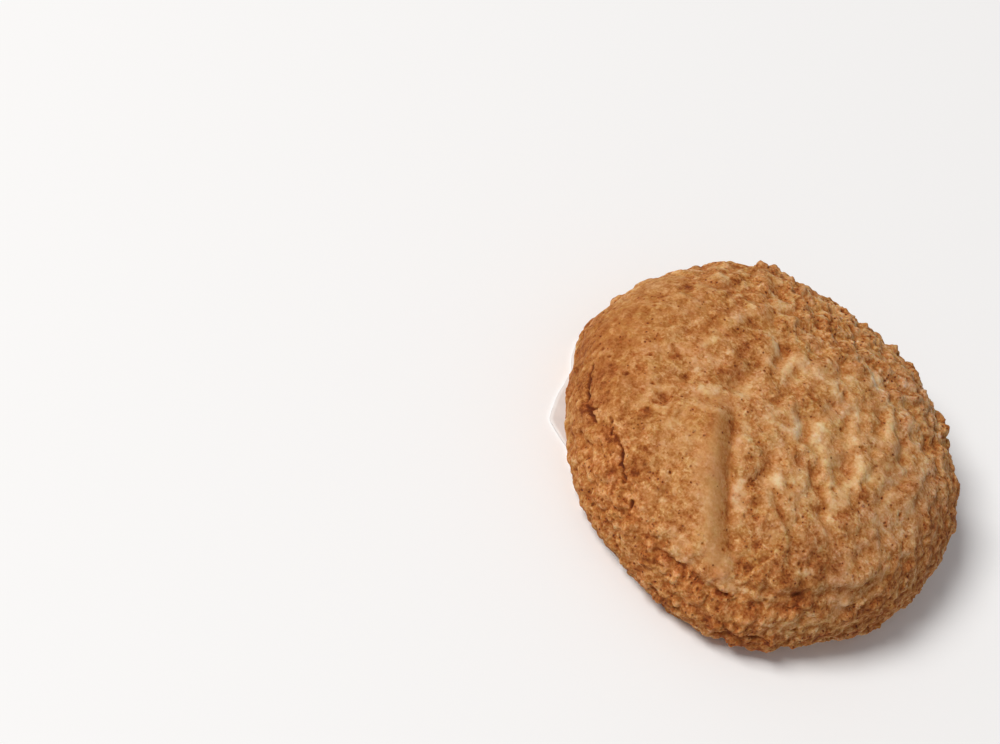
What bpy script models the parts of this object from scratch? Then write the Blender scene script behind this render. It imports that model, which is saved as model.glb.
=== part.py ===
"""A coconut macaroon on its wafer paper.

A flattened dome of coconut and beaten egg white, dropped with a swirl on a sheet of
edible wafer paper and baked until the crust is brown. Units are metres and +Z is up.
The origin is on the surface that the macaroon rests on, under the middle of its box.

A place on the crust is given as on a map of the dome: its distance from the top is
measured along the surface, and its direction is the one seen from above.
"""

import itertools

import bmesh
import bpy
import numpy as np

MM = 0.001

# Size and form of the dome
HALF_WIDTH = 37.4 * MM          # middle to the fullest part of the flank
HEIGHT = 25.8 * MM              # underside of the wafer paper to the top
FLANK_HEIGHT = 4.2 * MM         # height at which the flank is fullest
FOOT_RADIUS = 0.93 * HALF_WIDTH
SHOULDER_POWER = 0.88           # under 1, the sides are fuller than an ellipse
CROWN_POWER = 0.66              # under 1, the top is flatter than an ellipse

# Shallow waves that make the outline less than round: count, height, phase in degrees
OUTLINE_WAVES = (
    (2, 0.52 * MM, -3.3),
    (3, 0.67 * MM, 113.8),
    (4, 0.23 * MM, 116.1),
    (5, 0.12 * MM, 59.9),
    (6, 0.21 * MM, 35.3),
    (7, 0.26 * MM, -148.8),
    (8, 0.15 * MM, -165.3),
)
OUTLINE_WAVE_POWER = 1.5        # how fast they fade towards the top

# The wafer paper and the gap that keeps it a solid of its own
WAFER_THICKNESS = 0.45 * MM
WAFER_RADIUS = 34.3 * MM
WAFER_RAGGEDNESS = 0.25 * MM
WAFER_RAG_SIZE = 3.0 * MM
TOUCHING_GAP = 0.3 * MM
FOOT_HEIGHT = WAFER_THICKNESS + TOUCHING_GAP
FOOT_BAND = 3.0 * MM            # the relief moves nothing up or down at the foot

# Corners of the paper that stand out past the foot:
# direction in degrees, reach, and the width in degrees on either side
WAFER_CORNERS = (
    (-147.6, 3.8 * MM, 36.0, 8.5),
    (-176.0, 4.4 * MM, 40.0, 20.0),
    (118.0, 2.5 * MM, 16.0, 26.0),
    (71.0, 2.0 * MM, 20.0, 13.0),
    (33.0, 2.6 * MM, 12.0, 17.0),
)

# Lines of the swirl on the map of the dome, in millimetres, each with its own section.
# The swirl's edge starts near the top, runs out to the rim and follows it round.
SWIRL_EDGE = (
    (-10.4, -11.1),
    (-4.8, -16.9),
    (1.6, -24.7),
    (7.6, -30.8),
    (12.9, -33.9),
    (19.4, -30.8),
    (25.0, -25.1),
    (30.3, -17.2),
    (33.5, -8.8),
    (31.9, 0.4),
    (30.6, 9.6),
    (26.0, 18.0),
)
# The seam between the cap and the crumbly skirt below it
SKIRT_SEAM = (
    (-35.6, -19.7),
    (-30.5, -25.8),
    (-22.5, -29.1),
    (-15.5, -34.1),
    (-9.5, -39.2),
    (-3.0, -41.2),
    (4.0, -40.3),
    (11.0, -39.0),
    (17.0, -36.1),
    (22.5, -31.6),
    (28.5, -26.2),
    (34.2, -17.3),
)

# Sections of those lines, and the span of the line that each section holds along,
# from 0 at its first corner to 1 at its last
SPAN_FADE = 0.05                # share of a line over which a section fades in or out
WHOLE_LINE = (0.0, 1.0)
FALL_START = -2.9 * MM          # the fall from the ridge's crest to the groove's floor
FALL_END = 0.3 * MM
FALL_ROUNDING = 0.12
RIDGE_HEIGHT = 1.3 * MM         # the smooth ridge outside the swirl's edge
RIDGE_WIDTH = 5.0 * MM
RIDGE_SPAN = (0.0, 0.42)
RIDGE_END_FADE = 0.16
TROUGH_DEPTH = 1.0 * MM         # the groove inside that ridge
TROUGH_WIDTH = 2.5 * MM
TROUGH_SPAN = (0.0, 0.46)
LIP_HEIGHT = 1.2 * MM           # the cap's lip, inside the swirl's edge
LIP_RISE = 2.0 * MM
LIP_WIDTH = 9.0 * MM
LIP_SPAN = (0.33, 1.0)
SEAM_DEPTH = 0.9 * MM
SEAM_WIDTH = 1.1 * MM
SEAM_FAINT_SHARE = 0.3          # of its depth, where the seam is only a crack
SEAM_OPEN_SPAN = (0.38, 0.95)
SKIRT_SWELL = 0.5 * MM          # the skirt bulges past the cap
SKIRT_SWELL_REACH = 3.6 * MM
WANDER_SIZE = 2.8 * MM          # noise that makes the lip and the seam wander
WANDER_REACH = 0.7 * MM
WANDER_SEED = 61

# Lesser folds of the coils: height in mm, half widths in mm of the west and the east
# side, and the line along the crest or the furrow, from north to south
FOLDS = (
    (-1.35, 2.5, 1.6, ((-11.2, 2.4), (-10.8, -3.2), (-9.8, -8.8))),
    (0.4, 1.6, 1.6, ((-15.4, 1.0), (-14.8, -4.0), (-13.6, -9.0))),
    (-1.2, 2.6, 1.6, ((6.4, 9.5), (7.5, 6.0), (8.2, 3.0), (9.4, 0.6), (11.6, -1.8), (13.7, -4.2),
                      (13.7, -6.8), (12.2, -9.2))),
    (0.45, 1.6, 2.2, ((9.6, 6.4), (10.0, 3.0), (11.8, 0.6), (14.6, -1.8), (15.6, -5.0), (15.0, -9.0))),
    (-0.95, 1.8, 1.6, ((0.9, 0.2), (2.8, -2.6), (4.2, -5.2), (4.9, -7.8))),
    (-1.0, 2.0, 1.6, ((7.2, -7.8), (10.2, -10.0), (13.0, -11.8), (14.9, -13.8), (15.8, -16.4))),
    (-0.85, 1.7, 1.6, ((0.8, -11.2), (2.5, -14.5), (3.4, -17.6), (4.7, -20.8))),
    (0.5, 1.6, 1.6, ((-3.2, -12.0), (-2.0, -16.5), (0.6, -20.5))),
    (0.5, 1.9, 1.9, ((-13.2, 19.0), (-15.2, 15.5), (-18.0, 11.0), (-19.2, 5.0), (-17.0, -1.0))),
    (0.35, 1.7, 1.7, ((8.0, 18.5), (12.0, 14.5), (14.6, 9.5), (16.4, 4.0), (18.6, -0.5))),
    (0.45, 1.8, 1.8, ((20.0, 17.0), (23.0, 12.5), (24.4, 7.0), (24.6, 1.5), (26.4, -4.0))),
    (0.45, 1.6, 1.6, ((29.4, -11.0), (28.6, -15.4), (26.4, -19.6), (23.0, -23.6))),
)
FOLD_BREAK_SIZE = 3.4 * MM      # noise that breaks the folds up along their length
FOLD_BREAK = 0.6

# Uneven relief of the crust
SWELL_SIZE = 13.0 * MM
SWELL_HEIGHT = 0.55 * MM
LUMP_SIZE = 4.4 * MM
LUMP_HEIGHT = 0.85 * MM
LUMP_MEAN = 0.75                # their mean height as a share, taken off
BEND_SIZE = 8.8 * MM            # noise that bends the lumps out of line
BEND_REACH = 1.6 * MM
CRAG_SIZE = 2.9 * MM
CRAG_HEIGHT = 0.5 * MM
LEFT_FLANK_SHARE = 0.5          # of that height where the left flank is smoother
LEFT_FLANK_X = (-20.0 * MM, 0.0)
SMOOTH_SHARE = 0.3              # of that height along the smooth ridge
SMOOTH_OFFSET = 3.4 * MM
SMOOTH_WIDTH = 4.4 * MM
SMOOTH_SPAN = (0.0, 0.42)
LIP_SHARE = 0.6                 # of that height on the lip
LIP_SHARE_SPAN = (0.4, 0.9)
TOP_SHARE = 0.35                # more of it towards the back
TOP_Y = (10.0 * MM, 18.0 * MM)
SKIRT_SHARE = 1.2               # of that height on the crumbly skirt
SKIRT_START = 37.0 * MM         # distance from the top along the surface
SKIRT_FULL = 41.5 * MM

# Crags of the rim and the back: the spacing of their places, the share of places that
# holds one, their radius as a share of the spacing, and their height
KNOB_SPACING = 2.6 * MM
KNOB_SHARE = 0.65
KNOB_RADIUS = (0.3, 0.58)
KNOB_HEIGHT = 1.15 * MM
KNOB_MEAN = 0.2                 # their mean height as a share, taken off
KNOB_POWER = 0.8                # under 1, they are blunter than cones
KNOB_LOWEST = 0.35              # of that height for the smallest crag
KNOB_BEND_SIZE = 1.1 * MM
KNOB_BEND_REACH = 0.6 * MM
KNOB_START = 34.0 * MM
KNOB_FULL = 41.0 * MM
KNOB_LEFT_SHARE = 0.45
KNOB_LEFT_X = (-24.0 * MM, -8.0 * MM)
KNOB_TOP_Y = (15.0 * MM, 24.0 * MM)

SWELL_SEED = 11
BEND_SEED = 23
LUMP_SEED = 37
CRAG_SEED = 41
KNOB_SEED = 231
WAFER_SEED = 53

# Faces: cells along the side of each piece's grid
DOME_CELLS = 76
WAFER_CELLS = 24
RING_CROWDING = 0.12            # how much closer the dome's rings lie at the foot
PROFILE_STEPS = 600
FOOT_STEPS = 80
LINE_STEPS = 160
NOISE_CELLS = 24
FINE_NOISE_CELLS = 64
NOISE_GAIN = 1.6                # brings the noise's usual peaks to about 1

CRUST_COLOUR = (0.52, 0.25, 0.085, 1.0)
CRUST_ROUGHNESS = 0.85
PAPER_COLOUR = (0.83, 0.79, 0.77, 1.0)
PAPER_ROUGHNESS = 0.9


def clear_scene():
    """Remove what a new file starts with."""
    for item in list(bpy.data.objects):
        bpy.data.objects.remove(item, do_unlink=True)


def plain_material(name, colour, roughness):
    """A Principled material of one colour."""
    material = bpy.data.materials.new(name)
    material.use_nodes = True
    shader = material.node_tree.nodes["Principled BSDF"]
    shader.inputs["Base Color"].default_value = colour
    shader.inputs["Roughness"].default_value = roughness
    shader.inputs["Metallic"].default_value = 0.0
    material.diffuse_color = colour
    return material


def ease(value, low, high):
    """0 below low, 1 above high, and a smooth rise between them."""
    share = np.clip((value - low) / (high - low), 0.0, 1.0)
    return share * share * (3.0 - 2.0 * share)


def rounded_ramp(place, rounding):
    """A straight rise from 0 at place 0 to 1 at place 1, with its two corners rounded: half
    the difference of two hyperbolas."""
    return 0.5 * (1.0 + np.hypot(place, rounding) - np.hypot(1.0 - place, rounding))


def bell(distance, width):
    """1 at no distance, falling off smoothly over the width."""
    return np.exp(-(distance / width) ** 2)


def smooth_noise(points, size, seed, cells=NOISE_CELLS):
    """Noise between about -1 and 1.

    A seeded arrow sits at each corner of a cubic lattice. Each corner's share is the
    point's offset along the arrow, and the eight shares are blended by a smooth weight.
    """
    arrows = np.random.default_rng(seed).normal(size=(cells,) * 3 + (3,))
    arrows /= np.linalg.norm(arrows, axis=-1, keepdims=True)
    scaled = points / size
    cell = np.floor(scaled).astype(int)
    inside = scaled - cell
    weight = inside ** 3 * (inside * (inside * 6.0 - 15.0) + 10.0)
    total = np.zeros(len(points))
    for corner in itertools.product((0, 1), repeat=3):
        near = (cell + corner) % cells
        arrow = arrows[near[:, 0], near[:, 1], near[:, 2]]
        share = np.prod(np.where(corner, weight, 1.0 - weight), axis=1)
        total += share * np.sum(arrow * (inside - corner), axis=1)
    return total * NOISE_GAIN


def bend_points(points, size, reach, seed, cells=NOISE_CELLS):
    """Points moved by smooth noise in each direction, which bends a layer's lattice."""
    bend = [smooth_noise(points, size, seed + axis, cells) for axis in range(3)]
    return points + reach * np.stack(bend, axis=1)


def nearest_centres(points, size, seed, cells=NOISE_CELLS):
    """Distance, in cells, to the nearest of the seeded centres, one in each cell of a cubic
    lattice, and a number from 0 to 1 drawn for that centre."""
    draw = np.random.default_rng(seed)
    centres = draw.random((cells,) * 3 + (3,))
    numbers = draw.random((cells,) * 3)
    scaled = points / size
    cell = np.floor(scaled).astype(int)
    nearest = np.full(len(points), np.inf)
    number = np.zeros(len(points))
    for step in itertools.product((-1, 0, 1), repeat=3):
        near = (cell + step) % cells
        key = (near[:, 0], near[:, 1], near[:, 2])
        squared = np.sum((scaled - cell - step - centres[key]) ** 2, axis=1)
        number = np.where(squared < nearest, numbers[key], number)
        nearest = np.minimum(nearest, squared)
    return np.sqrt(nearest), number


def dome_profile():
    """The half section from the top to the foot, with the distance along it.

    Down to the flank it is a squared-off ellipse, and below that a straight line in to
    the foot. Returns the distance along, the radius, the height and the outward normal.
    """
    turn = np.linspace(0.0, np.pi / 2.0, PROFILE_STEPS)
    radius = HALF_WIDTH * np.sin(turn) ** SHOULDER_POWER
    height = FLANK_HEIGHT + (HEIGHT - FLANK_HEIGHT) * np.cos(turn) ** CROWN_POWER
    share = np.linspace(0.0, 1.0, FOOT_STEPS)[1:]
    radius = np.append(radius, HALF_WIDTH + share * (FOOT_RADIUS - HALF_WIDTH))
    height = np.append(height, FLANK_HEIGHT + share * (FOOT_HEIGHT - FLANK_HEIGHT))
    along = np.append(0.0, np.cumsum(np.hypot(np.diff(radius), np.diff(height))))
    outward = -np.gradient(height, along)
    upward = np.gradient(radius, along)
    return along, radius, height, outward, upward


def outline_share(angle):
    """How far the outline departs from round at an angle, as a share of the radius."""
    return sum(
        size * np.cos(count * angle - np.radians(phase))
        for count, size, phase in OUTLINE_WAVES
    ) / HALF_WIDTH


def line_points(corners):
    """A smooth line through the corners, in metres, as evenly counted points.

    Each stretch is a cubic whose slope at a corner is half the step between that
    corner's neighbours.
    """
    knots = np.array(corners) * MM
    slopes = np.gradient(knots, axis=0)
    place = np.linspace(0.0, len(knots) - 1.0, LINE_STEPS)
    first = np.minimum(place.astype(int), len(knots) - 2)
    share = (place - first)[:, None]
    squared = share ** 2
    cubed = share ** 3
    return (
        knots[first] * (2.0 * cubed - 3.0 * squared + 1.0)
        + slopes[first] * (cubed - 2.0 * squared + share)
        + knots[first + 1] * (3.0 * squared - 2.0 * cubed)
        + slopes[first + 1] * (cubed - squared)
    )


def across_and_along(flat, corners):
    """Where map points lie from a line: distance to its left, and share of its length."""
    line = line_points(corners)
    heading = np.gradient(line, axis=0)
    heading /= np.linalg.norm(heading, axis=1, keepdims=True)
    offset = flat[:, None, :] - line[None, :, :]
    nearest = np.argmin(np.sum(offset ** 2, axis=2), axis=1)
    offset = offset[np.arange(len(flat)), nearest]
    ahead = heading[nearest]
    left = ahead[:, 0] * offset[:, 1] - ahead[:, 1] * offset[:, 0]
    return left, nearest / (LINE_STEPS - 1.0)


def within(share, span, end_fade=SPAN_FADE):
    """1 along a span of a line and 0 past its ends, fading between them."""
    first, last = span
    return ease(share, first, first + SPAN_FADE) * (1.0 - ease(share, last - end_fade, last))


def swirl_relief(flat, base):
    """Height of the ridge with its groove, the lip and the seam at points of the map.

    The ridge's crest falls evenly to the groove's floor at the swirl's edge, and the
    floor rises again inside it. Noise makes the lip's and the seam's lines wander.
    """
    side, share = across_and_along(flat, SWIRL_EDGE)
    low = rounded_ramp((side - FALL_START) / (FALL_END - FALL_START), FALL_ROUNDING)
    crest = RIDGE_HEIGHT * (1.0 - low) * bell(np.minimum(side - FALL_START, 0.0), RIDGE_WIDTH)
    floor = TROUGH_DEPTH * low * bell(np.maximum(side, 0.0), TROUGH_WIDTH)
    relief = crest * within(share, RIDGE_SPAN, RIDGE_END_FADE)
    relief -= floor * within(share, TROUGH_SPAN, RIDGE_END_FADE)

    # The lip further round, then the seam over the skirt and the skirt's swelling under it
    bend = [smooth_noise(base, WANDER_SIZE, WANDER_SEED + axis) for axis in range(2)]
    bent = flat + WANDER_REACH * np.stack(bend, axis=1)
    side, share = across_and_along(bent, SWIRL_EDGE)
    lip = ease(side, 0.0, LIP_RISE) * (1.0 - ease(side, LIP_RISE, LIP_WIDTH))
    relief += LIP_HEIGHT * lip * within(share, LIP_SPAN)
    side, share = across_and_along(bent, SKIRT_SEAM)
    faint = SEAM_FAINT_SHARE * within(share, WHOLE_LINE)
    depth = np.maximum(within(share, SEAM_OPEN_SPAN), faint)
    relief -= SEAM_DEPTH * bell(side, SEAM_WIDTH) * depth
    relief += SKIRT_SWELL * ease(-side, SEAM_WIDTH, SKIRT_SWELL_REACH) * depth
    return relief


def fold_relief(flat, base):
    """Height of the lesser folds, each a bell with its own width on either side, broken up
    along its length by noise."""
    broken = 1.0 + FOLD_BREAK * smooth_noise(base, FOLD_BREAK_SIZE, BEND_SEED)
    relief = np.zeros(len(flat))
    for height, west, east, corners in FOLDS:
        side, share = across_and_along(flat, corners)
        section = bell(side, np.where(side < 0.0, west, east) * MM)
        relief += height * MM * section * within(share, WHOLE_LINE) * broken
    return relief


def crust_share(flat):
    """How strong the lumps are: low on the smooth left flank and along the ridge, higher
    towards the back and high on the skirt."""
    share = LEFT_FLANK_SHARE + (1.0 - LEFT_FLANK_SHARE) * ease(flat[:, 0], *LEFT_FLANK_X)
    share += TOP_SHARE * ease(flat[:, 1], *TOP_Y)
    side, along = across_and_along(flat, SWIRL_EDGE)
    smooth = bell(side + SMOOTH_OFFSET, SMOOTH_WIDTH) * within(along, SMOOTH_SPAN)
    share *= 1.0 - (1.0 - SMOOTH_SHARE) * smooth
    lip = bell(side - LIP_RISE, SMOOTH_WIDTH) * within(along, LIP_SHARE_SPAN)
    share *= 1.0 - (1.0 - LIP_SHARE) * lip
    skirt = ease(np.hypot(flat[:, 0], flat[:, 1]), SKIRT_START, SKIRT_FULL)
    return share + (SKIRT_SHARE - share) * skirt


def knob_relief(flat, base):
    """Height of the crags: blunt cones with uneven outlines, each as high as the draw makes
    it, and only near the rim and at the back."""
    bent = bend_points(base, KNOB_BEND_SIZE, KNOB_BEND_REACH, KNOB_SEED, FINE_NOISE_CELLS)
    nearest, number = nearest_centres(bent, KNOB_SPACING, KNOB_SEED, FINE_NOISE_CELLS)
    low, high = KNOB_RADIUS
    part = number / KNOB_SHARE
    cone = np.clip(1.0 - nearest / (low + (high - low) * part), 0.0, 1.0) ** KNOB_POWER
    cone *= KNOB_LOWEST + (1.0 - KNOB_LOWEST) * part
    rim = ease(np.hypot(flat[:, 0], flat[:, 1]), KNOB_START, KNOB_FULL)
    rim *= KNOB_LEFT_SHARE + (1.0 - KNOB_LEFT_SHARE) * ease(flat[:, 0], *KNOB_LEFT_X)
    rim = np.maximum(rim, ease(flat[:, 1], *KNOB_TOP_Y))
    return KNOB_HEIGHT * (np.where(number < KNOB_SHARE, cone, 0.0) * rim - KNOB_MEAN)


def crust_relief(flat, base):
    """Height of the uneven crust: swells, lumps and noise bent out of their lattice, and
    the crags of the rim."""
    bent = bend_points(base, BEND_SIZE, BEND_REACH, BEND_SEED)
    share = crust_share(flat)
    lumps = np.clip(1.0 - nearest_centres(bent, LUMP_SIZE, LUMP_SEED)[0] ** 2, 0.0, 1.0)
    relief = SWELL_HEIGHT * smooth_noise(base, SWELL_SIZE, SWELL_SEED)
    relief += LUMP_HEIGHT * share * (lumps - LUMP_MEAN)
    relief += CRAG_HEIGHT * share * smooth_noise(bent, CRAG_SIZE, CRAG_SEED)
    return relief + knob_relief(flat, base)


def disc_grid(name, cells):
    """A square grid of quads, drawn out to a disc of radius 1: each square ring of the
    grid becomes a circle."""
    drawing = bmesh.new()
    bmesh.ops.create_grid(drawing, x_segments=cells, y_segments=cells, size=1.0)
    mesh = bpy.data.meshes.new(name)
    drawing.to_mesh(mesh)
    drawing.free()
    square = read_points(mesh)[:, :2]
    wide = np.abs(square[:, 0]) >= np.abs(square[:, 1])
    ring = np.where(wide, square[:, 0], square[:, 1])
    other = np.where(wide, square[:, 1], square[:, 0])
    turn = np.pi / 4.0 * other / np.where(ring == 0.0, 1.0, ring)
    turn = np.where(wide, turn, np.pi / 2.0 - turn)
    disc = np.stack([ring * np.cos(turn), ring * np.sin(turn)], axis=1)
    return mesh, disc


def read_points(mesh):
    """A mesh's points as an array."""
    points = np.empty(len(mesh.vertices) * 3)
    mesh.vertices.foreach_get("co", points)
    return points.reshape(-1, 3)


def write_points(mesh, points):
    """Put an array of points into a mesh."""
    mesh.vertices.foreach_set("co", points.ravel())
    mesh.update()


def split_cells(mesh):
    """Split each cell of the grid along its shorter diagonal, which follows furrows."""
    drawing = bmesh.new()
    drawing.from_mesh(mesh)
    bmesh.ops.triangulate(drawing, faces=drawing.faces, quad_method="SHORT_EDGE")
    drawing.to_mesh(mesh)
    drawing.free()


def close_foot(mesh):
    """Fill the open foot with one flat face and turn every face outwards."""
    drawing = bmesh.new()
    drawing.from_mesh(mesh)
    rim = [edge for edge in drawing.edges if edge.is_boundary]
    bmesh.ops.holes_fill(drawing, edges=rim, sides=0)
    bmesh.ops.recalc_face_normals(drawing, faces=drawing.faces)
    drawing.to_mesh(mesh)
    drawing.free()


def dome_points(disc):
    """Points of the crust for points of the unit disc.

    The disc's radius, with its rings crowded towards the foot, becomes the distance
    along the profile. The relief then moves each point along the profile's normal, and
    the foot stays at its own height.
    """
    along, radius, height, outward, upward = dome_profile()
    ring = np.sum(disc ** 2, axis=1, keepdims=True)
    flat = disc * along[-1] * (1.0 + RING_CROWDING * (1.0 - ring))
    distance = np.hypot(flat[:, 0], flat[:, 1])
    angle = np.arctan2(flat[:, 1], flat[:, 0])
    reach = np.interp(distance, along, radius)
    reach *= 1.0 + outline_share(angle) * (reach / HALF_WIDTH) ** OUTLINE_WAVE_POWER
    rise = np.interp(distance, along, height)
    around = np.stack([np.cos(angle), np.sin(angle)], axis=1)
    base = np.column_stack([around * reach[:, None], rise])
    relief = swirl_relief(flat, base) + fold_relief(flat, base) + crust_relief(flat, base)
    reach += relief * np.interp(distance, along, outward)
    above_foot = 1.0 - ease(distance, along[-1] - FOOT_BAND, along[-1])
    rise += relief * np.interp(distance, along, upward) * above_foot
    return np.column_stack([around * reach[:, None], rise])


def wafer_points(disc):
    """Points of the flat paper, drawn out to its ragged outline with its corners."""
    radius = np.hypot(disc[:, 0], disc[:, 1])
    angle = np.degrees(np.arctan2(disc[:, 1], disc[:, 0]))
    reach = np.full(len(disc), WAFER_RADIUS)
    for direction, height, before, after in WAFER_CORNERS:
        away = (angle - direction + 180.0) % 360.0 - 180.0
        width = np.where(away < 0.0, before, after)
        reach = np.maximum(reach, WAFER_RADIUS + height * (1.0 - np.abs(away) / width))
    turn = np.radians(angle)
    around = np.stack([np.cos(turn), np.sin(turn), np.zeros(len(disc))], axis=1)
    reach += WAFER_RAGGEDNESS * smooth_noise(around * WAFER_RADIUS, WAFER_RAG_SIZE, WAFER_SEED)
    return around * (radius * reach)[:, None]


def make_object(name, mesh, collection, material):
    """A smooth-shaded object of the mesh in the collection."""
    mesh.materials.append(material)
    mesh.shade_smooth()
    item = bpy.data.objects.new(name, mesh)
    collection.objects.link(item)
    return item


def make_macaroon(collection):
    """The dome of coconut, closed by its flat foot. Returns the middle of its box."""
    mesh, disc = disc_grid("macaroon", DOME_CELLS)
    points = dome_points(disc)
    middle = 0.5 * (points.min(axis=0) + points.max(axis=0))
    middle[2] = 0.0
    write_points(mesh, points - middle)
    split_cells(mesh)
    close_foot(mesh)
    crust = plain_material("baked_crust", CRUST_COLOUR, CRUST_ROUGHNESS)
    make_object("macaroon", mesh, collection, crust)
    return middle


def make_wafer_paper(collection, middle):
    """The sheet of edible paper under the foot, as thick as it is above its flat face."""
    mesh, disc = disc_grid("wafer_paper", WAFER_CELLS)
    write_points(mesh, wafer_points(disc) - middle)
    split_cells(mesh)
    paper = plain_material("wafer_paper", PAPER_COLOUR, PAPER_ROUGHNESS)
    sheet = make_object("wafer_paper", mesh, collection, paper)
    thickness = sheet.modifiers.new("thickness", "SOLIDIFY")
    thickness.thickness = WAFER_THICKNESS
    thickness.offset = 1.0


def main():
    """Build the macaroon and its paper."""
    clear_scene()
    collection = bpy.data.collections.new("coconut_macaroon")
    bpy.context.scene.collection.children.link(collection)
    middle = make_macaroon(collection)
    make_wafer_paper(collection, middle)


main()
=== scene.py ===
"""The looks of a coconut macaroon on its wafer paper.

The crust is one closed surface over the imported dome: the same profile, swirl and lumps,
with the crumbs, crags, pits and cracks of the baked coconut added.
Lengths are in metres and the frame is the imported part's own. A place on the crust is
given as on a map of the dome: its distance from the top is measured along the surface,
and its direction is the one seen from above.
"""

import itertools
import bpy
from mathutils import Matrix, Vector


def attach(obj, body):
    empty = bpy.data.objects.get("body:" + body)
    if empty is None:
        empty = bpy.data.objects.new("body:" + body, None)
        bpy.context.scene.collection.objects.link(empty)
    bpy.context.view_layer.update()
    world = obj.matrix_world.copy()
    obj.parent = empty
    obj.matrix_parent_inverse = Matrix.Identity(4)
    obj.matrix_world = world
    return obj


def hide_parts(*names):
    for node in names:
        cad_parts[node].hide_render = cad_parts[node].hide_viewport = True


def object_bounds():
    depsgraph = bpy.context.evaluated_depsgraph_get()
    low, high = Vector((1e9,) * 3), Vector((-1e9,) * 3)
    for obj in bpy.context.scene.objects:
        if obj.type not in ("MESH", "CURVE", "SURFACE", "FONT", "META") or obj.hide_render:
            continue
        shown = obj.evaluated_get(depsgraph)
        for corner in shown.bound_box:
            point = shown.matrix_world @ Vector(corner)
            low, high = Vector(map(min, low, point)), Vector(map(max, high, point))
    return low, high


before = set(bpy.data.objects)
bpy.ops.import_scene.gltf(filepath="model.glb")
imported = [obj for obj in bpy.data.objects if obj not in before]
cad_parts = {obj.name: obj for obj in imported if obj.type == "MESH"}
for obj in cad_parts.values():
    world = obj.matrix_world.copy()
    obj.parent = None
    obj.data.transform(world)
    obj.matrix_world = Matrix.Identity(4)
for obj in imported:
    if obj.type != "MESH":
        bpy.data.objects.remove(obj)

from types import SimpleNamespace

import bpy
import numpy as np
from mathutils import Matrix, Vector

cad_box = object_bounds()

MM = 0.001

# The dome, its outline and its foot
HALF_WIDTH = 37.4 * MM
HEIGHT = 25.8 * MM
FLANK_HEIGHT = 4.2 * MM
FOOT_RADIUS = 0.93 * HALF_WIDTH
SHOULDER_POWER = 0.88
CROWN_POWER = 0.66
OUTLINE_WAVES = (
    (2, 0.52 * MM, -3.3),
    (3, 0.67 * MM, 113.8),
    (4, 0.23 * MM, 116.1),
    (5, 0.12 * MM, 59.9),
    (6, 0.21 * MM, 35.3),
    (7, 0.26 * MM, -148.8),
    (8, 0.15 * MM, -165.3),
)
OUTLINE_WAVE_POWER = 1.5
FOOT_HEIGHT = 0.75 * MM
FOOT_BAND = 3.0 * MM
CRUST_UNDERSIDE = 0.38 * MM

# The wafer paper. Its corners: direction in degrees, reach, and width in degrees before
# and after
WAFER_RADIUS = 34.3 * MM
WAFER_CORNERS = (
    (-147.6, 3.5 * MM, 36.0, 8.5),
    (-176.0, 4.0 * MM, 40.0, 20.0),
    (118.0, 2.5 * MM, 16.0, 26.0),
    (71.0, 2.0 * MM, 20.0, 13.0),
    (33.0, 2.6 * MM, 12.0, 17.0),
)
WAFER_THICKNESS = 0.4 * MM
WAFER_RAGGEDNESS = 0.25 * MM
WAFER_RAG_SIZE = 3.0 * MM
WAFER_SEED = 53

# Lines on the map of the dome, in millimetres from the top along the surface
SWIRL_EDGE = (
    (-8.9, -9.6), (-4.6, -16.7), (1.3, -25.0), (7.5, -31.0), (12.9, -33.9), (19.4, -30.8),
    (25.0, -25.1), (30.3, -17.2), (33.5, -8.8), (31.9, 0.4), (30.6, 9.6), (26.0, 18.0),
)
SKIRT_SEAM = (
    (-35.6, -19.7), (-30.5, -25.8), (-22.5, -29.1), (-15.5, -34.1), (-9.5, -39.2), (-3.0, -41.2),
    (4.0, -40.3), (11.0, -39.0), (17.0, -36.1), (22.5, -31.6), (28.5, -26.2), (34.2, -17.3),
)

# Sections of those lines, and the span of the line that each section holds along
SPAN_FADE = 0.05
WHOLE_LINE = (0.0, 1.0)
CREST_OFFSETS = (3.1 * MM, 4.0 * MM)
CREST_ROUNDING = 0.4
RIDGE_HEIGHT = 1.6 * MM
RIDGE_WIDTH = 5.0 * MM
RIDGE_SPAN = (0.0, 0.37)
RIDGE_START_FADE = 0.045
RIDGE_END_FADE = 0.16
TROUGH_DEPTH = 1.2 * MM
TROUGH_WIDTH = 2.2 * MM
TROUGH_SPAN = (0.0, 0.38)
LIP_HEIGHT = 1.1 * MM
LIP_RISE = 2.0 * MM
LIP_WIDTH = 9.0 * MM
LIP_SPAN = (0.33, 0.86)
LIP_END_FADE = 0.4
UNDERCUT_DEPTH = 0.2 * MM
UNDERCUT_WIDTH = 0.9 * MM
UNDERCUT_SPAN = (0.42, 0.62)
UNDERCUT_END_FADE = 0.2
SEAM_DEPTH = 0.75 * MM
SEAM_WIDTH = 1.1 * MM
SEAM_FAINT_SHARE = 0.3
SEAM_OPEN_SPAN = (0.42, 0.88)
SKIRT_SWELL = 0.5 * MM
SKIRT_SWELL_REACH = 3.6 * MM
EDGE_WANDERS = ((2.8 * MM, 0.85 * MM),)
EDGE_SEED = 61
EDGE_BREAK = 0.8
DENT_WANDERS = ((2.4 * MM, 0.7 * MM), (1.1 * MM, 0.45 * MM))
DENT_SEED = 67

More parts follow.
